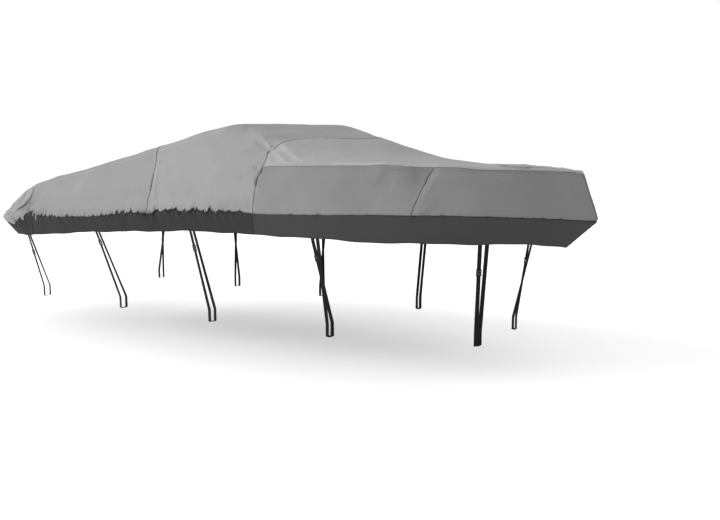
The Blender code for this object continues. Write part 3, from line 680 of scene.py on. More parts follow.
def crumples(side):
    """Short creases strewn over each patch, seeded by side, troughs and ridges by turns."""
    rng = np.random.default_rng(CRUMPLE_SEED + side)
    made = []
    for patch in PATCHES:
        for index in range(patch.count):
            middle = np.array([rng.uniform(*patch.sections), rng.uniform(*patch.strips)])
            half = np.array(patch.reach) * rng.uniform(-CRUMPLE_HALF, CRUMPLE_HALF, 2)
            bend = np.array(patch.reach) * rng.uniform(-CRUMPLE_BEND, CRUMPLE_BEND, 2)
            path = np.array([middle - half, middle + bend, middle + half])
            path = np.clip(path, (0.02, patch.strips[0]), (LAST, RIDGE - 0.05))
            height = patch.height * rng.uniform(*CRUMPLE_HEIGHTS) * (-1, 1)[index % 2]
            made.append(Fold(path, patch.half_width * rng.uniform(*CRUMPLE_HALF_WIDTHS), height))
    return made


def fold_lines(side):
    """Every crease of one side as points on the surface, with its half width and height.

    The port side repeats the starboard side's creases a little moved and lower, and has crumples of its own.
    """
    rng = np.random.default_rng(PORT_SEED)
    made = []
    for fold in FOLDS:
        shift, share = (0.0, 0.0), 1.0
        if side > 0:
            shift, share = rng.uniform(-PORT_SHIFT, PORT_SHIFT, 2), rng.uniform(*PORT_SHARES)
        made.append(Fold(np.array(fold.path) + shift, fold.half_width, fold.height * share))
    lines = []
    for path, half_width, height in made + crumples(side):
        stops = np.linspace(0, len(path) - 1, FOLD_STEPS * (len(path) - 1) + 1)
        t, s = (np.interp(stops, np.arange(len(path)), path[:, axis]) for axis in (0, 1))
        lines.append((smooth_surface(t, np.clip(s, HEM, RIDGE), side), half_width, height))
    return lines


FOLD_LINES = {side: fold_lines(side) for side in SIDES.values()}


def near_line(points, line):
    """Distance of each point from a polyline, and how far along it the nearest point lies, from 0 to 1."""
    steps = np.diff(line, axis=0)
    lengths = np.linalg.norm(steps, axis=1)
    before = np.append(0, np.cumsum(lengths))
    best, where = np.full(len(points), np.inf), np.zeros(len(points))
    for start, step, length, passed in zip(line, steps, lengths, before):
        f = np.clip((points - start) @ step / max(length, 1e-9) ** 2, 0, 1)
        distance = np.linalg.norm(points - start - f[:, None] * step, axis=1)
        closer = distance < best
        best[closer] = distance[closer]
        where[closer] = (passed + f[closer] * length) / before[-1]
    return best, where


def fold_relief(points, side):
    """Creases: a soft bell across each line with low shoulders of the other sign, faded at both ends.

    The second value is the painted shade in the narrow troughs, 0 to 1.
    """
    flat = points.reshape(-1, 3)
    total, dust = np.zeros(len(flat)), np.zeros(len(flat))
    for line, half, height in FOLD_LINES[side]:
        reach = FOLD_REACH * half
        near = np.all((flat > line.min(0) - reach) & (flat < line.max(0) + reach), axis=1)
        if not near.any():
            continue
        distance, where = near_line(flat[near], line)
        q = distance / half
        ends = np.clip(np.minimum(where, 1 - where) / FOLD_FADE, 0, 1)
        ends = np.maximum(ends * ends * (3 - 2 * ends), FOLD_END)
        crest = np.exp(-FOLD_FALL * (np.sqrt(q**2 + FOLD_TIP**2) - FOLD_TIP))
        total[near] += height * ends * (crest - FOLD_SHOULDER * np.exp(-((q - FOLD_SHOULDER_AT) ** 2)))
        # Narrow troughs get painted shade, deeper than the mesh's own
        if height < 0:
            steep = np.clip((-height / half - SHADED_FOLD) / DARKEST_FOLD, 0, 1)
            dust[near] = np.maximum(dust[near], steep * ends * crest)
    shape = points.shape[:-1]
    return total.reshape(shape), dust.reshape(shape)


def painted_shade_and_highlight(name, points, side):
    """Painted shade that the table adds to a piece, below zero painted highlight: a bell across each line."""
    flat = points.reshape(-1, 3)
    total = np.zeros(len(flat))
    for shade_line in PAINTED_SHADES:
        if shade_line.pieces in name:
            t, s = np.array(shade_line.path).T
            distance, _ = near_line(flat, smooth_surface(t, s, side))
            total += shade_line.share * np.exp(-((distance / shade_line.half_width) ** 2))
    return total.reshape(points.shape[:-1])


def along_noise(run):
    """Slow change along a seam, 0 to 1: three sines whose lengths don't repeat together."""
    phase = run * (2 * np.pi / SEAM_CHANGE)
    waves = np.sin(phase + 0.7) + np.sin(phase * 1.7 + 2.1)
    return 0.5 + 0.25 * (waves + 0.6 * np.sin(phase * 3.3)) / 1.3


def seam_relief(distance, run, on_top, flat):
    """Across a sewn seam: a groove at the edge, a raised lap on the upper piece, and puckers by the thread.

    The groove is a bell of exp(-q^2) whose depth changes along the seam. The puckers are a sine along it,
    whose beat and height waver, and fade as exp(-distance).
    """
    deep = GROOVE_DEPTH * (PRESSED if flat else GROOVE_SHARE[0] + GROOVE_SHARE[1] * along_noise(run))
    groove = -deep * np.exp(-((distance / GROOVE_HALF_WIDTH) ** 2))
    lap = on_top * LAP_RISE * np.clip((LAP_WIDTH + LAP_SLOPE - distance) / LAP_SLOPE, 0, 1)
    beat = np.sin(2 * np.pi * run / PUCKER_LENGTH + 1.7 * np.sin(run * 9.0)) * (0.6 + 0.4 * np.sin(run * 3.1))
    return groove + lap + PUCKER_HEIGHT * beat * np.exp(-distance / PUCKER_REACH)


# ---------------------------------------------------------------- cloth meshes

# A cut piece: sections and strips from and to, which edges are sewn, which of those lie on top of their
# neighbour, which are pressed flat so that they hardly show, its cell as a share of the settings' cell, and
# which cloth it is cut from
Piece = namedtuple("Piece", "ends lines sewn on_top flat cell material")
BOTH = tuple(SIDES.values())
TALL_CELL = 1.2  # most creases run up the cover, so a cell may be this much longer that way
# Samples that the grids are measured on: along a piece, up it, and up the skirt
FINE_ALONG, FINE_UP, FINE_SKIRT = 400, 241, 9
EDGE_SHARE = 0.45  # the rows close to the seams take at most this share of a short column
FAR = 9.0  # metres, for a distance from an edge that a piece hasn't got
WELD = 5e-5  # two halves' edges are one within this distance
# Point attributes that the cloth reads: metres from the nearest seam and along it, from the hem and from the
# rub rail, and shares of dust and painted shade, with painted highlights below zero, and of the painted
# shadow of small pleats
READS = ("seam", "run", "hem", "dust", "rail", "pleat_shade")
# Painted light and shade: how much lighter or darker than its kind each piece is, for how the light falls on
# it
PAINTED_LIGHT_BY_PIECE = {
    "stern_panel": 1.0, "aft_panel": 0.91, "foredeck_panel": 1.15, "bow_panel": 0.88, "stern_skirt": 0.66,
    "aft_skirt": 0.63, "fore_skirt": 0.95,
}
ALL_EDGES = ("first", "last", "low", "high")
NOT_HIGH, NOT_LOW = ("first", "last", "low"), ("first", "last", "high")
PIECES = {
    "stern_panel": Piece(
        ("stern_centre", "stern_fold"), (RUB, RIDGE), ("last", "low"), ("low",), (), 0.86, "panel"
    ),
    "aft_panel": Piece(("stern_fold", "seam_a"), (RUB, RIDGE), NOT_HIGH, NOT_HIGH, (), 0.95, "panel"),
    "mid_panel": Piece(("seam_a", "seam_b"), (RUB, RIDGE), NOT_HIGH, ("last", "low"), (), 0.88, "panel"),
    "foredeck_panel": Piece(
        ("seam_b", "bow"), (CREASE, RIDGE), ("first", "low"), ("low",), ("low",), 0.92, "panel"
    ),
    "side_panel": Piece(
        ("seam_b", "seam_c"), (RUB, CREASE), ALL_EDGES, ("last", "low"), ("high",), 1.10, "side"
    ),
    "bow_panel": Piece(("seam_c", "bow"), (RUB, CREASE), ALL_EDGES, ("low",), ("high",), 1.10, "side"),
    "stern_skirt": Piece(("stern_centre", "quarter"), (HEM, RUB), ("last", "high"), (), (), 0.78, "skirt"),
    "aft_skirt": Piece(("quarter", "seam_b"), (HEM, RUB), NOT_LOW, ("first",), (), 0.76, "skirt"),
    "fore_skirt": Piece(("seam_b", "bow"), (HEM, RUB), NOT_LOW, ("first",), (), 1.10, "skirt"),
}


def spaced(length, cell, close_start, close_end):
    """Places from 0 to length: close rows at a sewn edge, and even cells between."""
    start = EDGE_ROWS if close_start else np.array([0.0])
    end = length - (EDGE_ROWS[::-1] if close_end else np.array([0.0]))
    count = max(2, int(round((end[0] - start[-1]) / cell)))
    middle = np.linspace(start[-1], end[0], count + 1)[1:-1]
    return np.concatenate([start, middle, end])


def lengths_along(points, axis):
    """Metres from the first row of a grid, along that axis."""
    steps = np.linalg.norm(np.diff(points, axis=axis), axis=-1)
    first = np.zeros_like(np.take(steps, [0], axis=axis))
    return np.concatenate([first, np.cumsum(steps, axis=axis)], axis=axis)


def piece_grid(piece, cell, side):
    """(t, s) of a piece's grid, with its rub rail edge on the gathers and its rows close together at seams.

    Rows near a seam keep their distance from it, and the others share what is left of each column.
    """
    fine = np.linspace(ROW[piece.ends[0]], ROW[piece.ends[1]], FINE_ALONG)
    halfway = sum(piece.lines) / 2 if piece.lines[1] < RIDGE else piece.lines[0] + 0.5
    place = lengths_along(smooth_surface(fine, np.full(FINE_ALONG, halfway), 1), 0)
    t = np.interp(spaced(place[-1], cell, "first" in piece.sewn, "last" in piece.sewn), place, fine)
    edge = rub_edge(t, side)
    dense = np.linspace(piece.lines[0], piece.lines[1], FINE_UP)
    ladder = smooth_surface(np.repeat(t[:, None], FINE_UP, 1), np.repeat(dense[None], len(t), 0), 1)
    up = lengths_along(ladder, 1)
    rungs = np.meshgrid(t, np.linspace(HEM, RUB, FINE_SKIRT), indexing="ij")
    skirt = lengths_along(smooth_surface(*rungs, 1), 1)[:, -1]
    spans = np.median(up[:, -1])
    pattern = spaced(spans, cell * TALL_CELL, "low" in piece.sewn, "high" in piece.sewn)
    near_low = pattern[: len(EDGE_ROWS) if "low" in piece.sewn else 1]
    near_high = spans - pattern[-len(EDGE_ROWS) if "high" in piece.sewn else -1 :]
    inner = pattern[len(near_low) : len(pattern) - len(near_high)]
    share = (inner - near_low[-1]) / (spans - near_high[0] - near_low[-1])
    rows = []
    for i in range(len(t)):
        bottom = edge[i] if piece.lines[0] == RUB else hem_wave(t[i]) if piece.lines[0] == HEM else 0.0
        top = up[i, -1] + (edge[i] if piece.lines[1] == RUB else 0.0)
        length = top - bottom
        squeeze = min(1.0, EDGE_SHARE * length / max(near_low[-1] + near_high[0], 1e-6))
        low, high = near_low * squeeze, near_high * squeeze
        at = np.concatenate([low, low[-1] + share * (length - low[-1] - high[0]), length - high]) + bottom
        if piece.lines[1] == RUB:
            at = np.append(at, top + UNDERLAP)
        values = np.interp(at, up[i], dense)
        values = np.where(at < 0, piece.lines[0] + at / skirt[i], values)
        if piece.lines[1] == RUB:
            values = np.where(at > up[i, -1], RUB + (at - up[i, -1]) / strip_height(t[i]), values)
        rows.append(values)
    s = np.array(rows)
    return np.repeat(t[:, None], s.shape[1], 1), s


def strip_height(t):
    """Metres from the rub rail up to the crease at t."""
    lines = lines_at(np.array([t]))[0]
    return float(np.linalg.norm(lines[CREASE] - lines[RUB]))


def hem_wave(t):
    """How far the hem lies above its line, in metres: waves 0.86 and 0.37 m long that vanish at both ends."""
    place = rub_metres(t)
    wave = HEM_WAVE * (np.sin(place * HEM_RATES[0]) + 0.6 * np.sin(place * HEM_RATES[1] + 1.0))
    return float(wave * np.clip((LAST - t) / 1.5, 0, 1) * np.clip(t / 0.5, 0, 1))


def tie_hold(points):
    """1 at the ties and tabs, where the hem stays on its line, and 0 away from them."""
    hold = np.zeros(points.shape[:-1])
    for tie in TIES:
        distance = abs(points[..., 0] - tie.hem_x + TAB_SPACING / 2)
        hold = np.maximum(hold, np.clip(HOLD_FLAT - distance / HOLD_REACH, 0, 1))
    return hold


def cloth_half(name, piece, cell, side, folds):
    """One half of a piece: points, map in metres, and the distances and shares that its material reads.

    The relief of swell, creases, gathers and seams moves each point along its normal.
    """
    t, s = piece_grid(piece, cell, side)
    t = strays(t, s)
    points = smooth_surface(t, s, side)
    normals = outward(t, s, side)
    along, up = lengths_along(points, 0), lengths_along(points, 1)
    back, down = along[-1:] - along, up[:, -1:] - up
    if piece.lines[1] == RUB:
        down = np.maximum(down - UNDERLAP[-1], 0)
    distances = {"first": (along, up), "last": (back, up), "low": (up, along), "high": (down, along)}
    relief = SWELL_HEIGHT * swell(points, SWELL_WAVELENGTH, SWELL_SEED)
    relief += RIPPLE_HEIGHT * swell(points, RIPPLE_WAVELENGTH, RIPPLE_SEED)
    creases, dust = fold_relief(points, side)
    far = np.full(t.shape, FAR)
    rail, hem, hold = far, far, np.ones(t.shape)
    if RUB in piece.lines:
        above = piece.lines[0] == RUB
        rail = up if above else down
        drawn = gather_relief(t, rail, side)
        creases = creases + drawn * (PANEL_DRAW if above else 1.0)
        # Painted shade in the gathers' troughs
        shaded = np.clip(-drawn / GATHER_SHADE_DEPTH, 0, GATHER_DARKEST)
        dust = np.maximum(dust, shaded * (PANEL_GATHER_SHADE if above else 1.0))
    if piece.lines[0] == HEM:
        hem = up
        hold -= tie_hold(points) * np.clip(HOLD_TOP - up / HOLD_HEIGHT, 0, 1)
        relief *= SKIRT_SWELL
    relief = folds * (relief + creases) * hold * np.clip((LAST - t) / STEM_FADE, 0, 1)
    seam, run = far, np.zeros(t.shape)
    for edge in piece.sewn:
        distance, length = distances[edge]
        flat = edge in piece.flat
        relief += seam_relief(distance, length, edge in piece.on_top, flat)
        # Dirt and painted shadow along the seam
        share = PRESSED if flat else SEAM_DARK_SHARE[0] + SEAM_DARK_SHARE[1] * along_noise(length)
        dust = np.maximum(dust, share * np.exp(-((distance / SEAM_DARK_REACH) ** 2)))
        nearer = distance < seam
        seam, run = np.where(nearer, distance, seam), np.where(nearer, length, run)
    half = {
        "points": points + relief[..., None] * normals,
        "map": np.stack([along, up], -1),
        "seam": seam,
        "run": run,
        "hem": hem,
        # Dust and painted shade, and below zero painted highlights
        "dust": np.clip(dust + painted_shade_and_highlight(name, points, side), PALEST, 1),
        "rail": rail,
        "pleat_shade": np.interp(t, *zip(*PLEAT_SHADE_SHARES)),
    }
    return turned_hem(half, normals) if piece.lines[0] == HEM else half


def turned_hem(half, normals):
    """Carries the cloth round the hem's edge and up its inside: a half circle, then a layer HEM_DEPTH high.

    A turn is how far a row lies above the edge and how far inward, with the half circle's angle in radians.
    """
    points = half["points"]
    edge, inward, up = points[:, :1], -normals[:, :1], points[:, 1:2] - points[:, :1]
    up = up / np.linalg.norm(up, axis=-1, keepdims=True)
    gap = CLOTH + HEM_SLACK
    turns = [(HEM_DEPTH, gap), (HEM_DEPTH * 0.66, gap), (HEM_DEPTH * 0.33, gap), (HEM_BEND, gap)]
    for angle in (0.6, 1.57, 2.5):
        turns.append((HEM_MIDDLE - HEM_ROUND * math.sin(angle), gap / 2 * (1 + math.cos(angle))))
    inner = [edge + rise * up + inwards * inward for rise, inwards in turns]
    fall = np.repeat(half["map"][:, :1], len(turns), 1)
    fall[..., 1] += [-rise - HEM_TURN for rise, _ in turns]
    made = {
        "points": np.concatenate([*inner, points], axis=1),
        "map": np.concatenate([fall, half["map"]], axis=1),
    }
    for name in READS:
        value = np.repeat(half[name][:, :1], len(turns), 1)
        if name == "hem":
            value = value + [max(rise, 0) for rise, _ in turns]
        made[name] = np.concatenate([value, half[name]], axis=1)
    return made


def grid_faces(rows, columns, offset, flip):
    """Quads of a grid of points numbered row by row."""
    numbers = offset + np.arange(rows * columns).reshape(rows, columns)
    corners = [numbers[:-1, :-1], numbers[1:, :-1], numbers[1:, 1:], numbers[:-1, 1:]]
    quads = np.stack(corners, -1).reshape(-1, 4)
    return quads[:, ::-1] if flip else quads


def tube_faces(rings, around):
    """Point numbers of rings that are joined into a tube, and the quads round it."""
    numbers = np.arange(rings * around).reshape(rings, around)
    after = np.roll(numbers, -1, axis=1)
    return numbers, np.stack([numbers[:-1], after[:-1], after[1:], numbers[1:]], -1).reshape(-1, 4)


def lid_faces(ring):
    """Quads that close a ring, each from two neighbours on one side of it to the two across from them."""
    return np.array([[ring[i], ring[i + 1], ring[-i - 2], ring[-i - 1]] for i in range(len(ring) // 2 - 1)])


def mesh_object(name, points, faces, uv=None, attributes=None):
    """A mesh object at the origin from point, face, map and attribute arrays."""
    mesh = bpy.data.meshes.new(name)
    mesh.vertices.add(len(points))
    mesh.vertices.foreach_set("co", np.ascontiguousarray(points, np.float32).ravel())
    width = faces.shape[1]
    mesh.loops.add(faces.size)
    mesh.loops.foreach_set("vertex_index", np.ascontiguousarray(faces, np.int32).ravel())
    mesh.polygons.add(len(faces))
    mesh.polygons.foreach_set("loop_start", np.arange(0, faces.size, width, dtype=np.int32))
    mesh.update(calc_edges=True)
    if uv is not None:
        layer = mesh.uv_layers.new(name="UVMap")
        layer.data.foreach_set("uv", np.ascontiguousarray(uv[faces.ravel()], np.float32).ravel())
    for key, values in (attributes or {}).items():
        made = mesh.attributes.new(key, "FLOAT", "POINT")
        made.data.foreach_set("value", np.ascontiguousarray(values, np.float32).ravel())
    mesh.validate()
    mesh.shade_smooth()
    thing = bpy.data.objects.new(name, mesh)
    bpy.context.scene.collection.objects.link(thing)
    return thing


def cloth_piece(name, sides, settings):
    """One cut piece of cloth with its thickness and material, standing for its CAD node.

    The name is the node's. Its flat size adds both halves' widths, or for the stern their lengths.
    """
    cut = name.removesuffix("_starboard").removesuffix("_port")
    piece = PIECES[cut]
    made = f"{name}_cloth"
    halves = [cloth_half(made, piece, settings.cell * piece.cell, side, settings.folds) for side in sides]
    points, faces, maps, offset = [], [], [], 0
    for side, half in zip(sides, halves):
        rows, columns = half["points"].shape[:2]
        faces.append(grid_faces(rows, columns, offset, side < 0))
        offset += rows * columns
        points.append(half["points"].reshape(-1, 3))
        maps.append(half["map"].reshape(-1, 2) * (1, side))
    width = sum(float(np.ptp(half["map"][..., 1])) for half in halves)
    length = max(float(half["map"][..., 0].max()) for half in halves)
    if piece.ends[0] == "stern_centre":
        width, length = width / len(sides), length * len(sides)
    joined = {key: np.concatenate([half[key].ravel() for half in halves]) for key in READS}
    thing = mesh_object(made, np.concatenate(points), np.concatenate(faces), np.concatenate(maps), joined)
    weld(thing.data)
    thickness = thing.modifiers.new("thickness", "SOLIDIFY")
    thickness.thickness = settings.thickness
    thickness.offset = -1
    colours = {"panel": settings.panel_colour, "side": settings.side_colour, "skirt": settings.skirt_colour}
    # Painted light and shade by piece
    colour = np.array(colours[piece.material]) * PAINTED_LIGHT_BY_PIECE.get(cut, 1.0)
    thing.data.materials.append(
        material(f"woven_polyester_{cut}", woven_polyester, colour, settings.thread)
    )
    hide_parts(name)
    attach(thing, "root")
    return thing


def weld(mesh):
    """Joins the two halves of a piece where their edges meet."""
    work = bmesh.new()
    work.from_mesh(mesh)
    rim = [vertex for vertex in work.verts if vertex.is_boundary]
    bmesh.ops.remove_doubles(work, verts=rim, dist=WELD)
    work.to_mesh(mesh)
    work.free()


# ---------------------------------------------------------------- ties, tabs and buckles

HEM_SAMPLES = 3601
HEM_SPAN = 8  # samples to either side that give the hem's direction
HEM_UP = 0.3  # strips above the edge that give its slope
ARC_STEPS = 9
# Webbing's cross-section in half widths and half thicknesses: flat faces and thinned, round edges
WEBBING_PROFILE = np.array([
    (-1.0, -0.35), (-0.97, -0.95), (-0.33, -1.0), (0.33, -1.0), (0.97, -0.95), (1.0, -0.35),
    (1.0, 0.35), (0.97, 0.95), (0.33, 1.0), (-0.33, 1.0), (-0.97, 0.95), (-1.0, 0.35),
])


def hem_frame(x, side):
    """Where a tie or tab is sewn in: a point on the hem's inner face, HEM_DEPTH up, the point HEM_CLEAR below
    the hem's edge where it may first bend, and the direction along the hem toward the bow."""
    t = np.linspace(0, LAST, HEM_SAMPLES)
    edges, aboves = (
        smooth_surface(t, np.full(len(t), s), side)
        - (CLOTH + WEBBING_SEAT) * outward(t, np.full(len(t), s), side)
        for s in (0.0, HEM_UP)
    )
    cell = int(np.argmax(edges[:, 0] > x))
    edge, above = edges[cell], aboves[cell]
    along = edges[cell + HEM_SPAN] - edges[cell - HEM_SPAN]
    up = (above - edge) / np.linalg.norm(above - edge)
    return edge + HEM_DEPTH * up, edge - HEM_CLEAR * up, along / np.linalg.norm(along)


def rounded(points, radius):
    """A polyline whose inner corners are arcs: each corner becomes a quadratic curve of that reach."""
    out = [points[0]]
    for before, corner, after in zip(points, points[1:], points[2:]):
        back, ahead = before - corner, after - corner
        reach = min(radius, np.linalg.norm(back) / 2, np.linalg.norm(ahead) / 2)
        start = corner + reach * back / np.linalg.norm(back)
        end = corner + reach * ahead / np.linalg.norm(ahead)
        for f in np.linspace(0, 1, ARC_STEPS):
            out.append((1 - f) ** 2 * start + 2 * f * (1 - f) * corner + f**2 * end)
    out.append(points[-1])
    return np.array(out)


def filled_in(route, spacing):
    """The same route with points no farther apart than spacing, so that the webbing can waver, and without
    those less than 0.5 mm from the one before. Also gives how far along each point lies."""
    lengths = np.append(0, np.cumsum(np.linalg.norm(np.diff(route, axis=0), axis=1)))
    extra = np.arange(spacing, lengths[-1], spacing)
    places = np.unique(np.round(np.concatenate([lengths, extra]), 5))
    places = places[np.append(True, np.diff(places) > 5e-4)]
    return np.stack([np.interp(places, lengths, route[:, axis]) for axis in range(3)], -1), places


def webbing_shell(route, across, waver, phase):
    """Flat webbing carried along a route: a rounded rectangle of twelve points at each place, with shut ends.

    It turns about its own line by up to waver, in radians, as slow waves that start and end flat.
    """
    route, places = filled_in(route, WEBBING_STEP)
    tangents = np.gradient(route, places, axis=0)
    tangents /= np.linalg.norm(tangents, axis=1, keepdims=True)
    wide = across - tangents * (tangents @ across)[:, None]
    wide /= np.linalg.norm(wide, axis=1, keepdims=True)
    thick = np.cross(tangents, wide)
    turn = waver * np.sin(np.pi * places / places[-1]) * np.sin(places * WAVER_RATE + phase)
    wide, thick = (
        wide * np.cos(turn)[:, None] + thick * np.sin(turn)[:, None],
        thick * np.cos(turn)[:, None] - wide * np.sin(turn)[:, None],
    )
    profile = WEBBING_PROFILE * (WEBBING_WIDTH / 2, WEBBING_THICKNESS / 2)
    rings = route[:, None] + profile[None, :, :1] * wide[:, None] + profile[None, :, 1:] * thick[:, None]
    count, around = rings.shape[:2]
    numbers, sides = tube_faces(count, around)
    faces = np.concatenate([sides, lid_faces(numbers[0]), lid_faces(numbers[-1][::-1])])
    uv = np.stack([np.repeat(places[:, None], around, 1), np.repeat(profile[None, :, 0], count, 0)], -1)
    return rings.reshape(-1, 3), faces, uv.reshape(-1, 2), route


def over_bar(bar, down, over, before, past, inside):
    """Four points that take webbing over a buckle's bar: before it, on it, past it and inside the buckle."""
    return [bar - down * before, bar + over, bar + down * past + over, bar + down * inside]


def tie_plan(tie, sign):
    """Every place that a tie, its tab and its buckle need, from the hem and the trailer's beam."""
    top, edge, along = hem_frame(tie.hem_x, sign)
    tab_top, tab_edge, tab_along = hem_frame(tie.hem_x - TAB_SPACING, sign)
    reach = BEAM_WIDTH / 2 + WEBBING_THICKNESS
    low, high = BEAM_BOTTOM - WEBBING_THICKNESS + GROUND, BEAM_TOP + GROUND
    outer, inner = sign * (tie.beam_y + reach), sign * (tie.beam_y - reach)
    places = ((outer, high), (outer, low), (inner, low), (inner, high))
    corners = [np.array([tie.beam_x, y, z]) for y, z in places]
    if tie.buckle_leg == "outer":
        corners.reverse()
    down = corners[-1] - tab_edge
    down /= np.linalg.norm(down)
    across = along - down * np.dot(along, down)
    across /= np.linalg.norm(across)
    buckle_top = tab_edge + down * tie.buckle_drop
    over = np.cross(across, down) * BAR_CLEAR
    buckle_end = buckle_top + down * BUCKLE_LENGTH
    end_bar = over_bar(buckle_end, -down, over, before=0.010, past=0.006, inside=0.018)
    top_bar = over_bar(buckle_top, down, over, before=0.010, past=0.005, inside=0.011)
    return {
        "route": np.concatenate([rounded([top, edge, *corners, end_bar[0]], BEAM_CORNER), end_bar[1:]]),
        "tab_route": np.concatenate([rounded([tab_top, tab_edge, top_bar[0]], BEAM_CORNER), top_bar[1:]]),
        "along": along, "tab_along": tab_along, "down": down, "across": across, "buckle_top": buckle_top,
    }


def hardware_piece(name, node, finish, points, faces, uv=None):
    """A mesh with its normals turned outward and its material, standing for its CAD node."""
    thing = mesh_object(name, points, faces, uv)
    work = bmesh.new()
    work.from_mesh(thing.data)
    bmesh.ops.recalc_face_normals(work, faces=work.faces)
    work.to_mesh(thing.data)
    work.free()
    thing.data.materials.append(finish)
    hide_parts(node)
    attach(thing, "root")
    return thing


def webbing_piece(name, route, across, wave, colour):
    """Webbing along a route, and the points that it follows."""
    points, faces, uv, path = webbing_shell(route, across, *wave)
    finish = material("woven_webbing", woven_webbing, colour)
    return hardware_piece(f"{name}_webbing", name, finish, points, faces, uv), path


def rounded_slab(centre, size, corner, rings=3, around=8):
    """A block with round edges: rounded rectangles stacked up its thickness, the first and last few drawn in.

    centre and size are (across, along, thick). A level at angle a of the edge's quarter circle lies corner
    times 1 - cos a inside the face, and is drawn in by corner times 1 - sin a. Seen from above, each corner
    is a quarter circle of twice that radius, less what its level is drawn in.
    """
    half = np.array(size) / 2
    edge = np.linspace(0, np.pi / 2, rings)
    heights, drawn_in = corner * (1 - np.cos(edge)) - half[2], corner * (1 - np.sin(edge))
    heights, drawn_in = np.append(heights, -heights[::-1]), np.append(drawn_in, drawn_in[::-1])
    radius = np.maximum(corner * 2 - drawn_in, 1e-4)[:, None]
    turn = (np.linspace(0, np.pi / 2, around) + np.arange(4)[:, None] * (np.pi / 2)).ravel()
    signs = np.repeat(np.array([(1, 1), (-1, 1), (-1, -1), (1, -1)]), around, axis=0)
    corners = signs * (half[:2] - corner * 2)
    points = np.stack([
        corners[:, 0] + radius * np.cos(turn),
        corners[:, 1] + radius * np.sin(turn),
        np.repeat(heights[:, None], 4 * around, 1),
    ], -1) + np.array(centre)
    numbers, sides = tube_faces(2 * rings, 4 * around)
    return points.reshape(-1, 3), np.concatenate([sides, lid_faces(numbers[0][::-1]), lid_faces(numbers[-1])])


def buckle_blocks():
    """Centre, size and corner of each block of a side-release buckle: across, along from its top, and thick.

    The socket is a rounded body with a window at each side, the plug has two prongs that bulge out of the
    windows, and each end has a frame with a bar that the webbing goes round.
    """
    length, width, thick = BUCKLE_LENGTH, BUCKLE_WIDTH, BUCKLE_THICKNESS
    rail = 0.0055
    blocks = [
        ((0, 0.0235, 0), (width * 0.70, 0.029, thick), 0.0020),  # socket's body
        ((0, 0.0110, 0), (width, 0.0055, thick * 0.72), 0.0012),  # socket's shoulder
        ((0, 0.0020, 0), (width, 0.0040, thick * 0.45), 0.0010),  # socket's webbing bar
        ((0, 0.0425, 0), (width, 0.0070, thick * 0.80), 0.0015),  # plug's shoulder
        ((0, 0.0540, 0.0012), (width - 0.004, 0.0042, thick * 0.34), 0.0010),  # plug's ladder bar
        ((0, length - 0.0025, 0), (width, 0.0050, thick * 0.50), 0.0012),  # plug's end bar
    ]
    for side in (1, -1):
        edge = side * (width / 2 - rail / 2)
        blocks += [
            ((edge, 0.0065, 0), (rail, 0.013, thick * 0.55), 0.0012),  # rail of the socket's frame
            ((side * width * 0.435, 0.0270, 0), (0.0062, 0.0200, thick * 0.62), 0.0015),  # prong
            ((edge, 0.0545, 0), (rail, 0.0230, thick * 0.60), 0.0012),  # rail of the plug's frame
        ]
    for along in (0.0205, 0.0255, 0.0305):
        blocks.append(((0, along, thick / 2), (width * 0.42, 0.0022, 0.0012), 0.0003))  # grip rib
    return blocks


def buckle_piece(name, plan, colour):
    """One buckle, hung from the tab along its line."""
    points, faces, offset = [], [], 0
    for centre, size, corner in buckle_blocks():
        block, block_faces = rounded_slab(centre, size, corner)
        points.append(block)
        faces.append(block_faces + offset)
        offset += len(block)
    axes = np.array([plan["across"], plan["down"], np.cross(plan["across"], plan["down"])])
    placed = plan["buckle_top"] + np.concatenate(points) @ axes
    finish = material("moulded_acetal", moulded_acetal, colour)
    thing = hardware_piece(f"{name}_moulding", name, finish, placed, np.concatenate(faces))
    thing.data.set_sharp_from_angle(angle=math.radians(SHARP))
    return thing


# ---------------------------------------------------------------- materials

# Thread rows: metres from one stitch to the next, the share of it that shows thread, how far from its middle
# a row fades out, and where each row is, as metres from a seam or from the hem
STITCH_BEAT, STITCH_SHARE, THREAD_FADE = 0.006, 0.66, 0.0011
THREAD_ROWS = (("seam", 0.005), ("seam", 0.017), ("hem", 0.031))
SEAM_HALO = 0.045  # metres beside a seam that handling has darkened a little
WEBBING_RIB, WEBBING_BAND = 0.0036, 0.0042  # spacing of its diagonal ribs, and of the bands along it


def add_node(tree, kind, *values, out=0, **named):
    """Adds one node, with its settings and links, and returns one of its outputs.

    Values go to its sockets in order, names with a capital to the sockets so called, and the other names are
    its settings. A value that is a socket is linked.
    """
    made = tree.nodes.new(f"ShaderNode{kind}")
    sockets = dict(enumerate(values))
    for name, value in named.items():
        if name[0].isupper():
            sockets[name] = value
        else:
            setattr(made, name, value)
    for key, value in sockets.items():
        if isinstance(value, bpy.types.NodeSocket):
            tree.links.new(value, made.inputs[key])
        else:
            made.inputs[key].default_value = value
    return made.outputs[out]


def material(name, build, *values):
    """The material of that name, made the first time that it is asked for.

    build adds its nodes to a tree and gives the shader's sockets, by name, their values or links.
    """
    if name not in bpy.data.materials:
        made = bpy.data.materials.new(name)
        made.use_nodes = True
        shader = made.node_tree.nodes["Principled BSDF"]
        for key, value in build(made.node_tree, *values).items():
            if isinstance(value, bpy.types.NodeSocket):
                made.node_tree.links.new(value, shader.inputs[key])
            else:
                shader.inputs[key].default_value = value
    return bpy.data.materials[name]


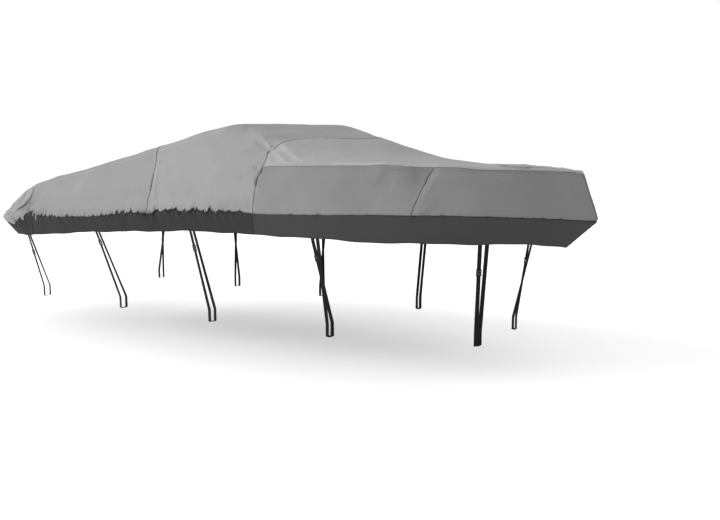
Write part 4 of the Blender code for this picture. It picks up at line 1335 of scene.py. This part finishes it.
def woven_polyester(tree, colour, thread):
    """Solution-dyed 600-denier polyester, plain woven and coated on its back: matt, with slubs in both thread
    directions, thread rows at its seams, darker under dust and painted shade in seams, creases and gathers,
    lighter under painted highlights, and with painted shadows of pleats along the rub rail."""
    place = add_node(tree, "TexCoord", out="Object")
    spread = add_node(tree, "UVMap", uv_map="UVMap")
    axes = add_node(tree, "SeparateXYZ", spread).node.outputs
    reads = {key: add_node(tree, "Attribute", out="Fac", attribute_name=key) for key in READS}
    waves = []
    for axis in axes[:2]:
        turns = add_node(tree, "Math", axis, math.pi / thread, operation="MULTIPLY")
        waves.append(add_node(tree, "Math", turns, operation="SINE"))
    weave = add_node(tree, "Math", *waves, operation="MULTIPLY")
    # Slubs: thicker stretches of thread, about 70 mm long and 1.6 mm wide as drawn
    slubs = []
    for stretch in ((14, 620, 1), (620, 14, 1)):
        mapped = add_node(tree, "Mapping", Vector=spread, Scale=stretch)
        slubs.append(add_node(tree, "TexNoise", Vector=mapped, Scale=1.0, Detail=1.0))
    slub = add_node(tree, "Math", *slubs, operation="ADD")
    cloud = add_node(tree, "TexNoise", Vector=place, Scale=1.9, Detail=3.0)
    mottle = add_node(tree, "TexNoise", Vector=place, Scale=17.0, Detail=4.0)
    # Thread rows 5 and 17 mm from a sewn edge, and 31 mm above the hem: 4 mm stitches with 2 mm between
    beats = add_node(tree, "Math", reads["run"], STITCH_BEAT, operation="DIVIDE")
    beat = add_node(tree, "Math", beats, operation="FRACT")
    dash = add_node(tree, "Math", beat, STITCH_SHARE, operation="LESS_THAN")
    rows = []
    for source, offset in THREAD_ROWS:
        off = add_node(tree, "Math", reads[source], offset, operation="SUBTRACT")
        off = add_node(tree, "Math", off, operation="ABSOLUTE")
        off = add_node(tree, "Math", off, THREAD_FADE, operation="DIVIDE")
        rows.append(add_node(tree, "Math", 1.0, off, operation="SUBTRACT", use_clamp=True))
    thread_line = add_node(tree, "Math", *rows[:2], operation="MAXIMUM")
    thread_line = add_node(tree, "Math", thread_line, rows[2], operation="MAXIMUM")
    stitches = add_node(tree, "Math", thread_line, dash, operation="MULTIPLY")
    away = add_node(tree, "Math", reads["seam"], SEAM_HALO, operation="DIVIDE")
    halo = add_node(tree, "Math", 1.0, away, operation="SUBTRACT", use_clamp=True)
    # Painted shadow of pleats about 40 mm apart, up to 60 mm long on either side of the rub rail
    drawn = add_node(tree, "Mapping", Vector=spread, Scale=(27, 6, 1))
    pleats = add_node(tree, "TexNoise", Vector=drawn, Scale=1.0, Detail=2.5)
    height = add_node(tree, "Math", pleats, 0.42, operation="SUBTRACT")
    height = add_node(tree, "Math", height, 0.22, operation="MULTIPLY")
    inside = add_node(tree, "Math", height, reads["rail"], operation="SUBTRACT")
    shadow = add_node(tree, "Math", inside, 0.022, operation="DIVIDE", use_clamp=True)
    shadow = add_node(tree, "Math", shadow, reads["pleat_shade"], operation="MULTIPLY")
    shade = add_node(tree, "Math", shadow, -0.62, 1.0, operation="MULTIPLY_ADD")
    # How light the cloth is: each thing adds its share of itself, and the pleats' shade multiplies
    tone = add_node(tree, "Math", cloud, 0.14, 0.795, operation="MULTIPLY_ADD")
    # The darkening read here is dirt and painted shadow at seams, painted shade in creases and gathers, and
    # below zero painted highlights
    for source, share in ((mottle, 0.07), (slub, 0.10), (weave, 0.035), (reads["dust"], -0.45)):
        tone = add_node(tree, "Math", source, share, tone, operation="MULTIPLY_ADD")
    tone = add_node(tree, "Math", tone, shade, operation="MULTIPLY")
    for source, share in ((halo, -0.03), (stitches, -0.20)):
        tone = add_node(tree, "Math", source, share, tone, operation="MULTIPLY_ADD")
    threads = add_node(tree, "Bump", Strength=0.35, Distance=0.0004, Height=weave)
    sewn = add_node(tree, "Bump", Strength=0.7, Distance=0.0012, Height=stitches, Normal=threads)
    return {
        "Base Color": add_node(tree, "VectorMath", tuple(colour), operation="SCALE", Scale=tone),
        "Roughness": add_node(tree, "Math", mottle, 0.16, 0.76, operation="MULTIPLY_ADD", use_clamp=True),
        "Specular IOR Level": 0.12,
        "Normal": add_node(tree, "Bump", Strength=0.35, Distance=0.004, Height=mottle, Normal=sewn),
    }


def woven_webbing(tree, colour):
    """Flat polypropylene webbing, herringbone woven: faint diagonal ribs, a firm edge and a dull sheen."""
    spread = add_node(tree, "UVMap", uv_map="UVMap")
    axes = add_node(tree, "SeparateXYZ", spread).node.outputs
    off = add_node(tree, "Math", axes[1], operation="ABSOLUTE")
    lean = add_node(tree, "Math", axes[0], off, operation="ADD")
    waves = []
    for source, spacing in ((lean, WEBBING_RIB), (axes[1], WEBBING_BAND)):
        turns = add_node(tree, "Math", source, 2 * math.pi / spacing, operation="MULTIPLY")
        waves.append(add_node(tree, "Math", turns, operation="SINE"))
    height = add_node(tree, "Math", waves[1], 0.5, waves[0], operation="MULTIPLY_ADD")
    tone = add_node(tree, "Math", height, 0.12, 1.0, operation="MULTIPLY_ADD")
    return {
        "Base Color": add_node(tree, "VectorMath", tuple(colour), operation="SCALE", Scale=tone),
        "Roughness": 0.8,
        "Specular IOR Level": 0.2,
        "Normal": add_node(tree, "Bump", Strength=0.5, Distance=0.0004, Height=height),
    }


def moulded_acetal(tree, colour):
    """Injection-moulded black acetal: smooth with a fine spark-eroded grain, scuffed a little."""
    place = add_node(tree, "TexCoord", out="Object")
    grain = add_node(tree, "TexNoise", Vector=place, Scale=2600.0, Detail=2.0)
    scuff = add_node(tree, "TexNoise", Vector=place, Scale=140.0, Detail=5.0)
    tone = add_node(tree, "Math", scuff, 0.5, 0.75, operation="MULTIPLY_ADD")
    return {
        "Base Color": add_node(tree, "VectorMath", tuple(colour), operation="SCALE", Scale=tone),
        "Roughness": add_node(tree, "Math", scuff, 0.2, 0.5, operation="MULTIPLY_ADD"),
        "IOR": 1.48,
        "Normal": add_node(tree, "Bump", Strength=0.25, Distance=0.0002, Height=grain),
    }


def painted_floor(tree, colour):
    """Matt white studio paint, rolled on: even, with a slight stipple."""
    place = add_node(tree, "TexCoord", out="Object")
    stipple = add_node(tree, "TexNoise", Vector=place, Scale=90.0, Detail=2.0)
    return {
        "Roughness": add_node(tree, "Math", stipple, 0.1, 0.82, operation="MULTIPLY_ADD"),
        "Base Color": (*colour, 1.0),
        "Specular IOR Level": 0.1,
    }


# ---------------------------------------------------------------- operators


class BOATCOVER_OT_top_panels(bpy.types.Operator):
    """Stern, aft, mid and foredeck panels, from rail to rail"""

    bl_idname = "boatcover.top_panels"
    bl_label = "Top Panels"

    def execute(self, context):
        for name in ("stern_panel", "aft_panel", "mid_panel", "foredeck_panel"):
            cloth_piece(name, BOTH, context.scene.cover_settings)
        return {"FINISHED"}


class BOATCOVER_OT_side_panels(bpy.types.Operator):
    """Side and bow panels, one of each a side"""

    bl_idname = "boatcover.side_panels"
    bl_label = "Side Panels"

    def execute(self, context):
        for name in ("side_panel", "bow_panel"):
            for side, sign in SIDES.items():
                cloth_piece(f"{name}_{side}", (sign,), context.scene.cover_settings)
        return {"FINISHED"}


class BOATCOVER_OT_skirts(bpy.types.Operator):
    """Stern, aft and fore skirts with their turned hems"""

    bl_idname = "boatcover.skirts"
    bl_label = "Skirts"

    def execute(self, context):
        cloth_piece("stern_skirt", BOTH, context.scene.cover_settings)
        for name in ("aft_skirt", "fore_skirt"):
            for side, sign in SIDES.items():
                cloth_piece(f"{name}_{side}", (sign,), context.scene.cover_settings)
        return {"FINISHED"}


class BOATCOVER_OT_ties(bpy.types.Operator):
    """Webbing ties, their tabs and side-release buckles"""

    bl_idname = "boatcover.ties"
    bl_label = "Ties and Buckles"

    def execute(self, context):
        settings = context.scene.tie_settings
        for index, tie in enumerate(TIES):
            for side, sign in SIDES.items():
                plan = tie_plan(tie, sign)
                ending = f"{tie.name}_{side}"
                black = settings.webbing_colour
                wave, still = (WAVER, (index + sign) * WAVER_PHASE), (0.0, 0.0)
                webbing, path = webbing_piece(f"tie_{ending}", plan["route"], plan["along"], wave, black)
                tab, _ = webbing_piece(f"tab_{ending}", plan["tab_route"], plan["tab_along"], still, black)
                buckle = buckle_piece(f"buckle_{ending}", plan, settings.buckle_colour)
        return {"FINISHED"}


class BOATCOVER_OT_stage(bpy.types.Operator):
    """Pale floor, soft lights and the camera"""

    bl_idname = "boatcover.stage"
    bl_label = "Stage"

    def execute(self, context):
        settings = context.scene.stage_settings
        scene = context.scene
        turn = np.linspace(0, 2 * np.pi, FLOOR_SIDES + 1)[:-1]
        radius = np.array(FLOOR_RADII)[:, None]
        points = np.stack(np.broadcast_arrays(radius * np.cos(turn), radius * np.sin(turn), GROUND), -1)
        numbers, rings = tube_faces(len(FLOOR_RADII), FLOOR_SIDES)
        faces = np.concatenate([rings[:, ::-1], lid_faces(numbers[0])])
        floor = mesh_object("floor", points.reshape(-1, 3), faces)
        floor.data.materials.append(material("painted_floor", painted_floor, settings.floor_colour))

        world = bpy.data.worlds.new("studio")
        world.use_nodes = True
        sky = world.node_tree.nodes["Background"]
        sky.inputs["Color"].default_value = (1.0, 1.0, 1.0, 1.0)
        sky.inputs["Strength"].default_value = settings.sky
        scene.world = world

        lamp = bpy.data.lights.new("key", "SUN")
        lamp.energy = settings.key
        lamp.angle = math.radians(KEY_SPREAD)
        light = bpy.data.objects.new("key", lamp)
        x, y, z = KEY_FROM
        light.rotation_euler = (math.atan2(math.hypot(x, y), z), 0, math.atan2(x, -y))
        scene.collection.objects.link(light)

        camera = bpy.data.objects.new("camera", bpy.data.cameras.new("camera"))
        camera.data.lens = CAMERA_LENS
        camera.data.sensor_width = CAMERA_SENSOR
        camera.data.sensor_fit = "HORIZONTAL"
        camera.data.clip_end = CAMERA_FAR
        camera.location = CAMERA_PLACE
        camera.rotation_euler = (math.radians(90 - CAMERA_PITCH), 0, math.radians(CAMERA_AZIMUTH))
        scene.collection.objects.link(camera)
        scene.camera = camera
        scene.view_settings.view_transform = "Standard"
        scene.view_settings.look = "None"
        return {"FINISHED"}


class VIEW3D_PT_boat_cover(bpy.types.Panel):
    """Settings and operators of the boat cover"""

    bl_label = "Boat Cover"
    bl_space_type = "VIEW_3D"
    bl_region_type = "UI"
    bl_category = "Boat Cover"

    def draw(self, context):
        for name in SETTINGS:
            holder = getattr(context.scene, name)
            for key in holder.bl_rna.properties.keys():
                if key not in ("rna_type", "name"):
                    self.layout.prop(holder, key)
        for operator in OPERATORS:
            self.layout.operator(operator.bl_idname)


SETTINGS = {"cover_settings": CoverSettings, "tie_settings": TieSettings, "stage_settings": StageSettings}
OPERATORS = (
    BOATCOVER_OT_stage,
    BOATCOVER_OT_ties,
    BOATCOVER_OT_top_panels,
    BOATCOVER_OT_side_panels,
    BOATCOVER_OT_skirts,
)
CLASSES = (*SETTINGS.values(), *OPERATORS, VIEW3D_PT_boat_cover)


def register():
    for cls in CLASSES:
        bpy.utils.register_class(cls)
    for name, settings in SETTINGS.items():
        setattr(bpy.types.Scene, name, bpy.props.PointerProperty(type=settings))


def unregister():
    for name in SETTINGS:
        delattr(bpy.types.Scene, name)
    for cls in reversed(CLASSES):
        bpy.utils.unregister_class(cls)


def main():
    """Builds the stage and the cover."""
    register()
    bpy.ops.boatcover.stage()
    bpy.ops.boatcover.ties()
    bpy.ops.boatcover.top_panels()
    bpy.ops.boatcover.side_panels()
    bpy.ops.boatcover.skirts()


if __name__ == "__main__":
    main()
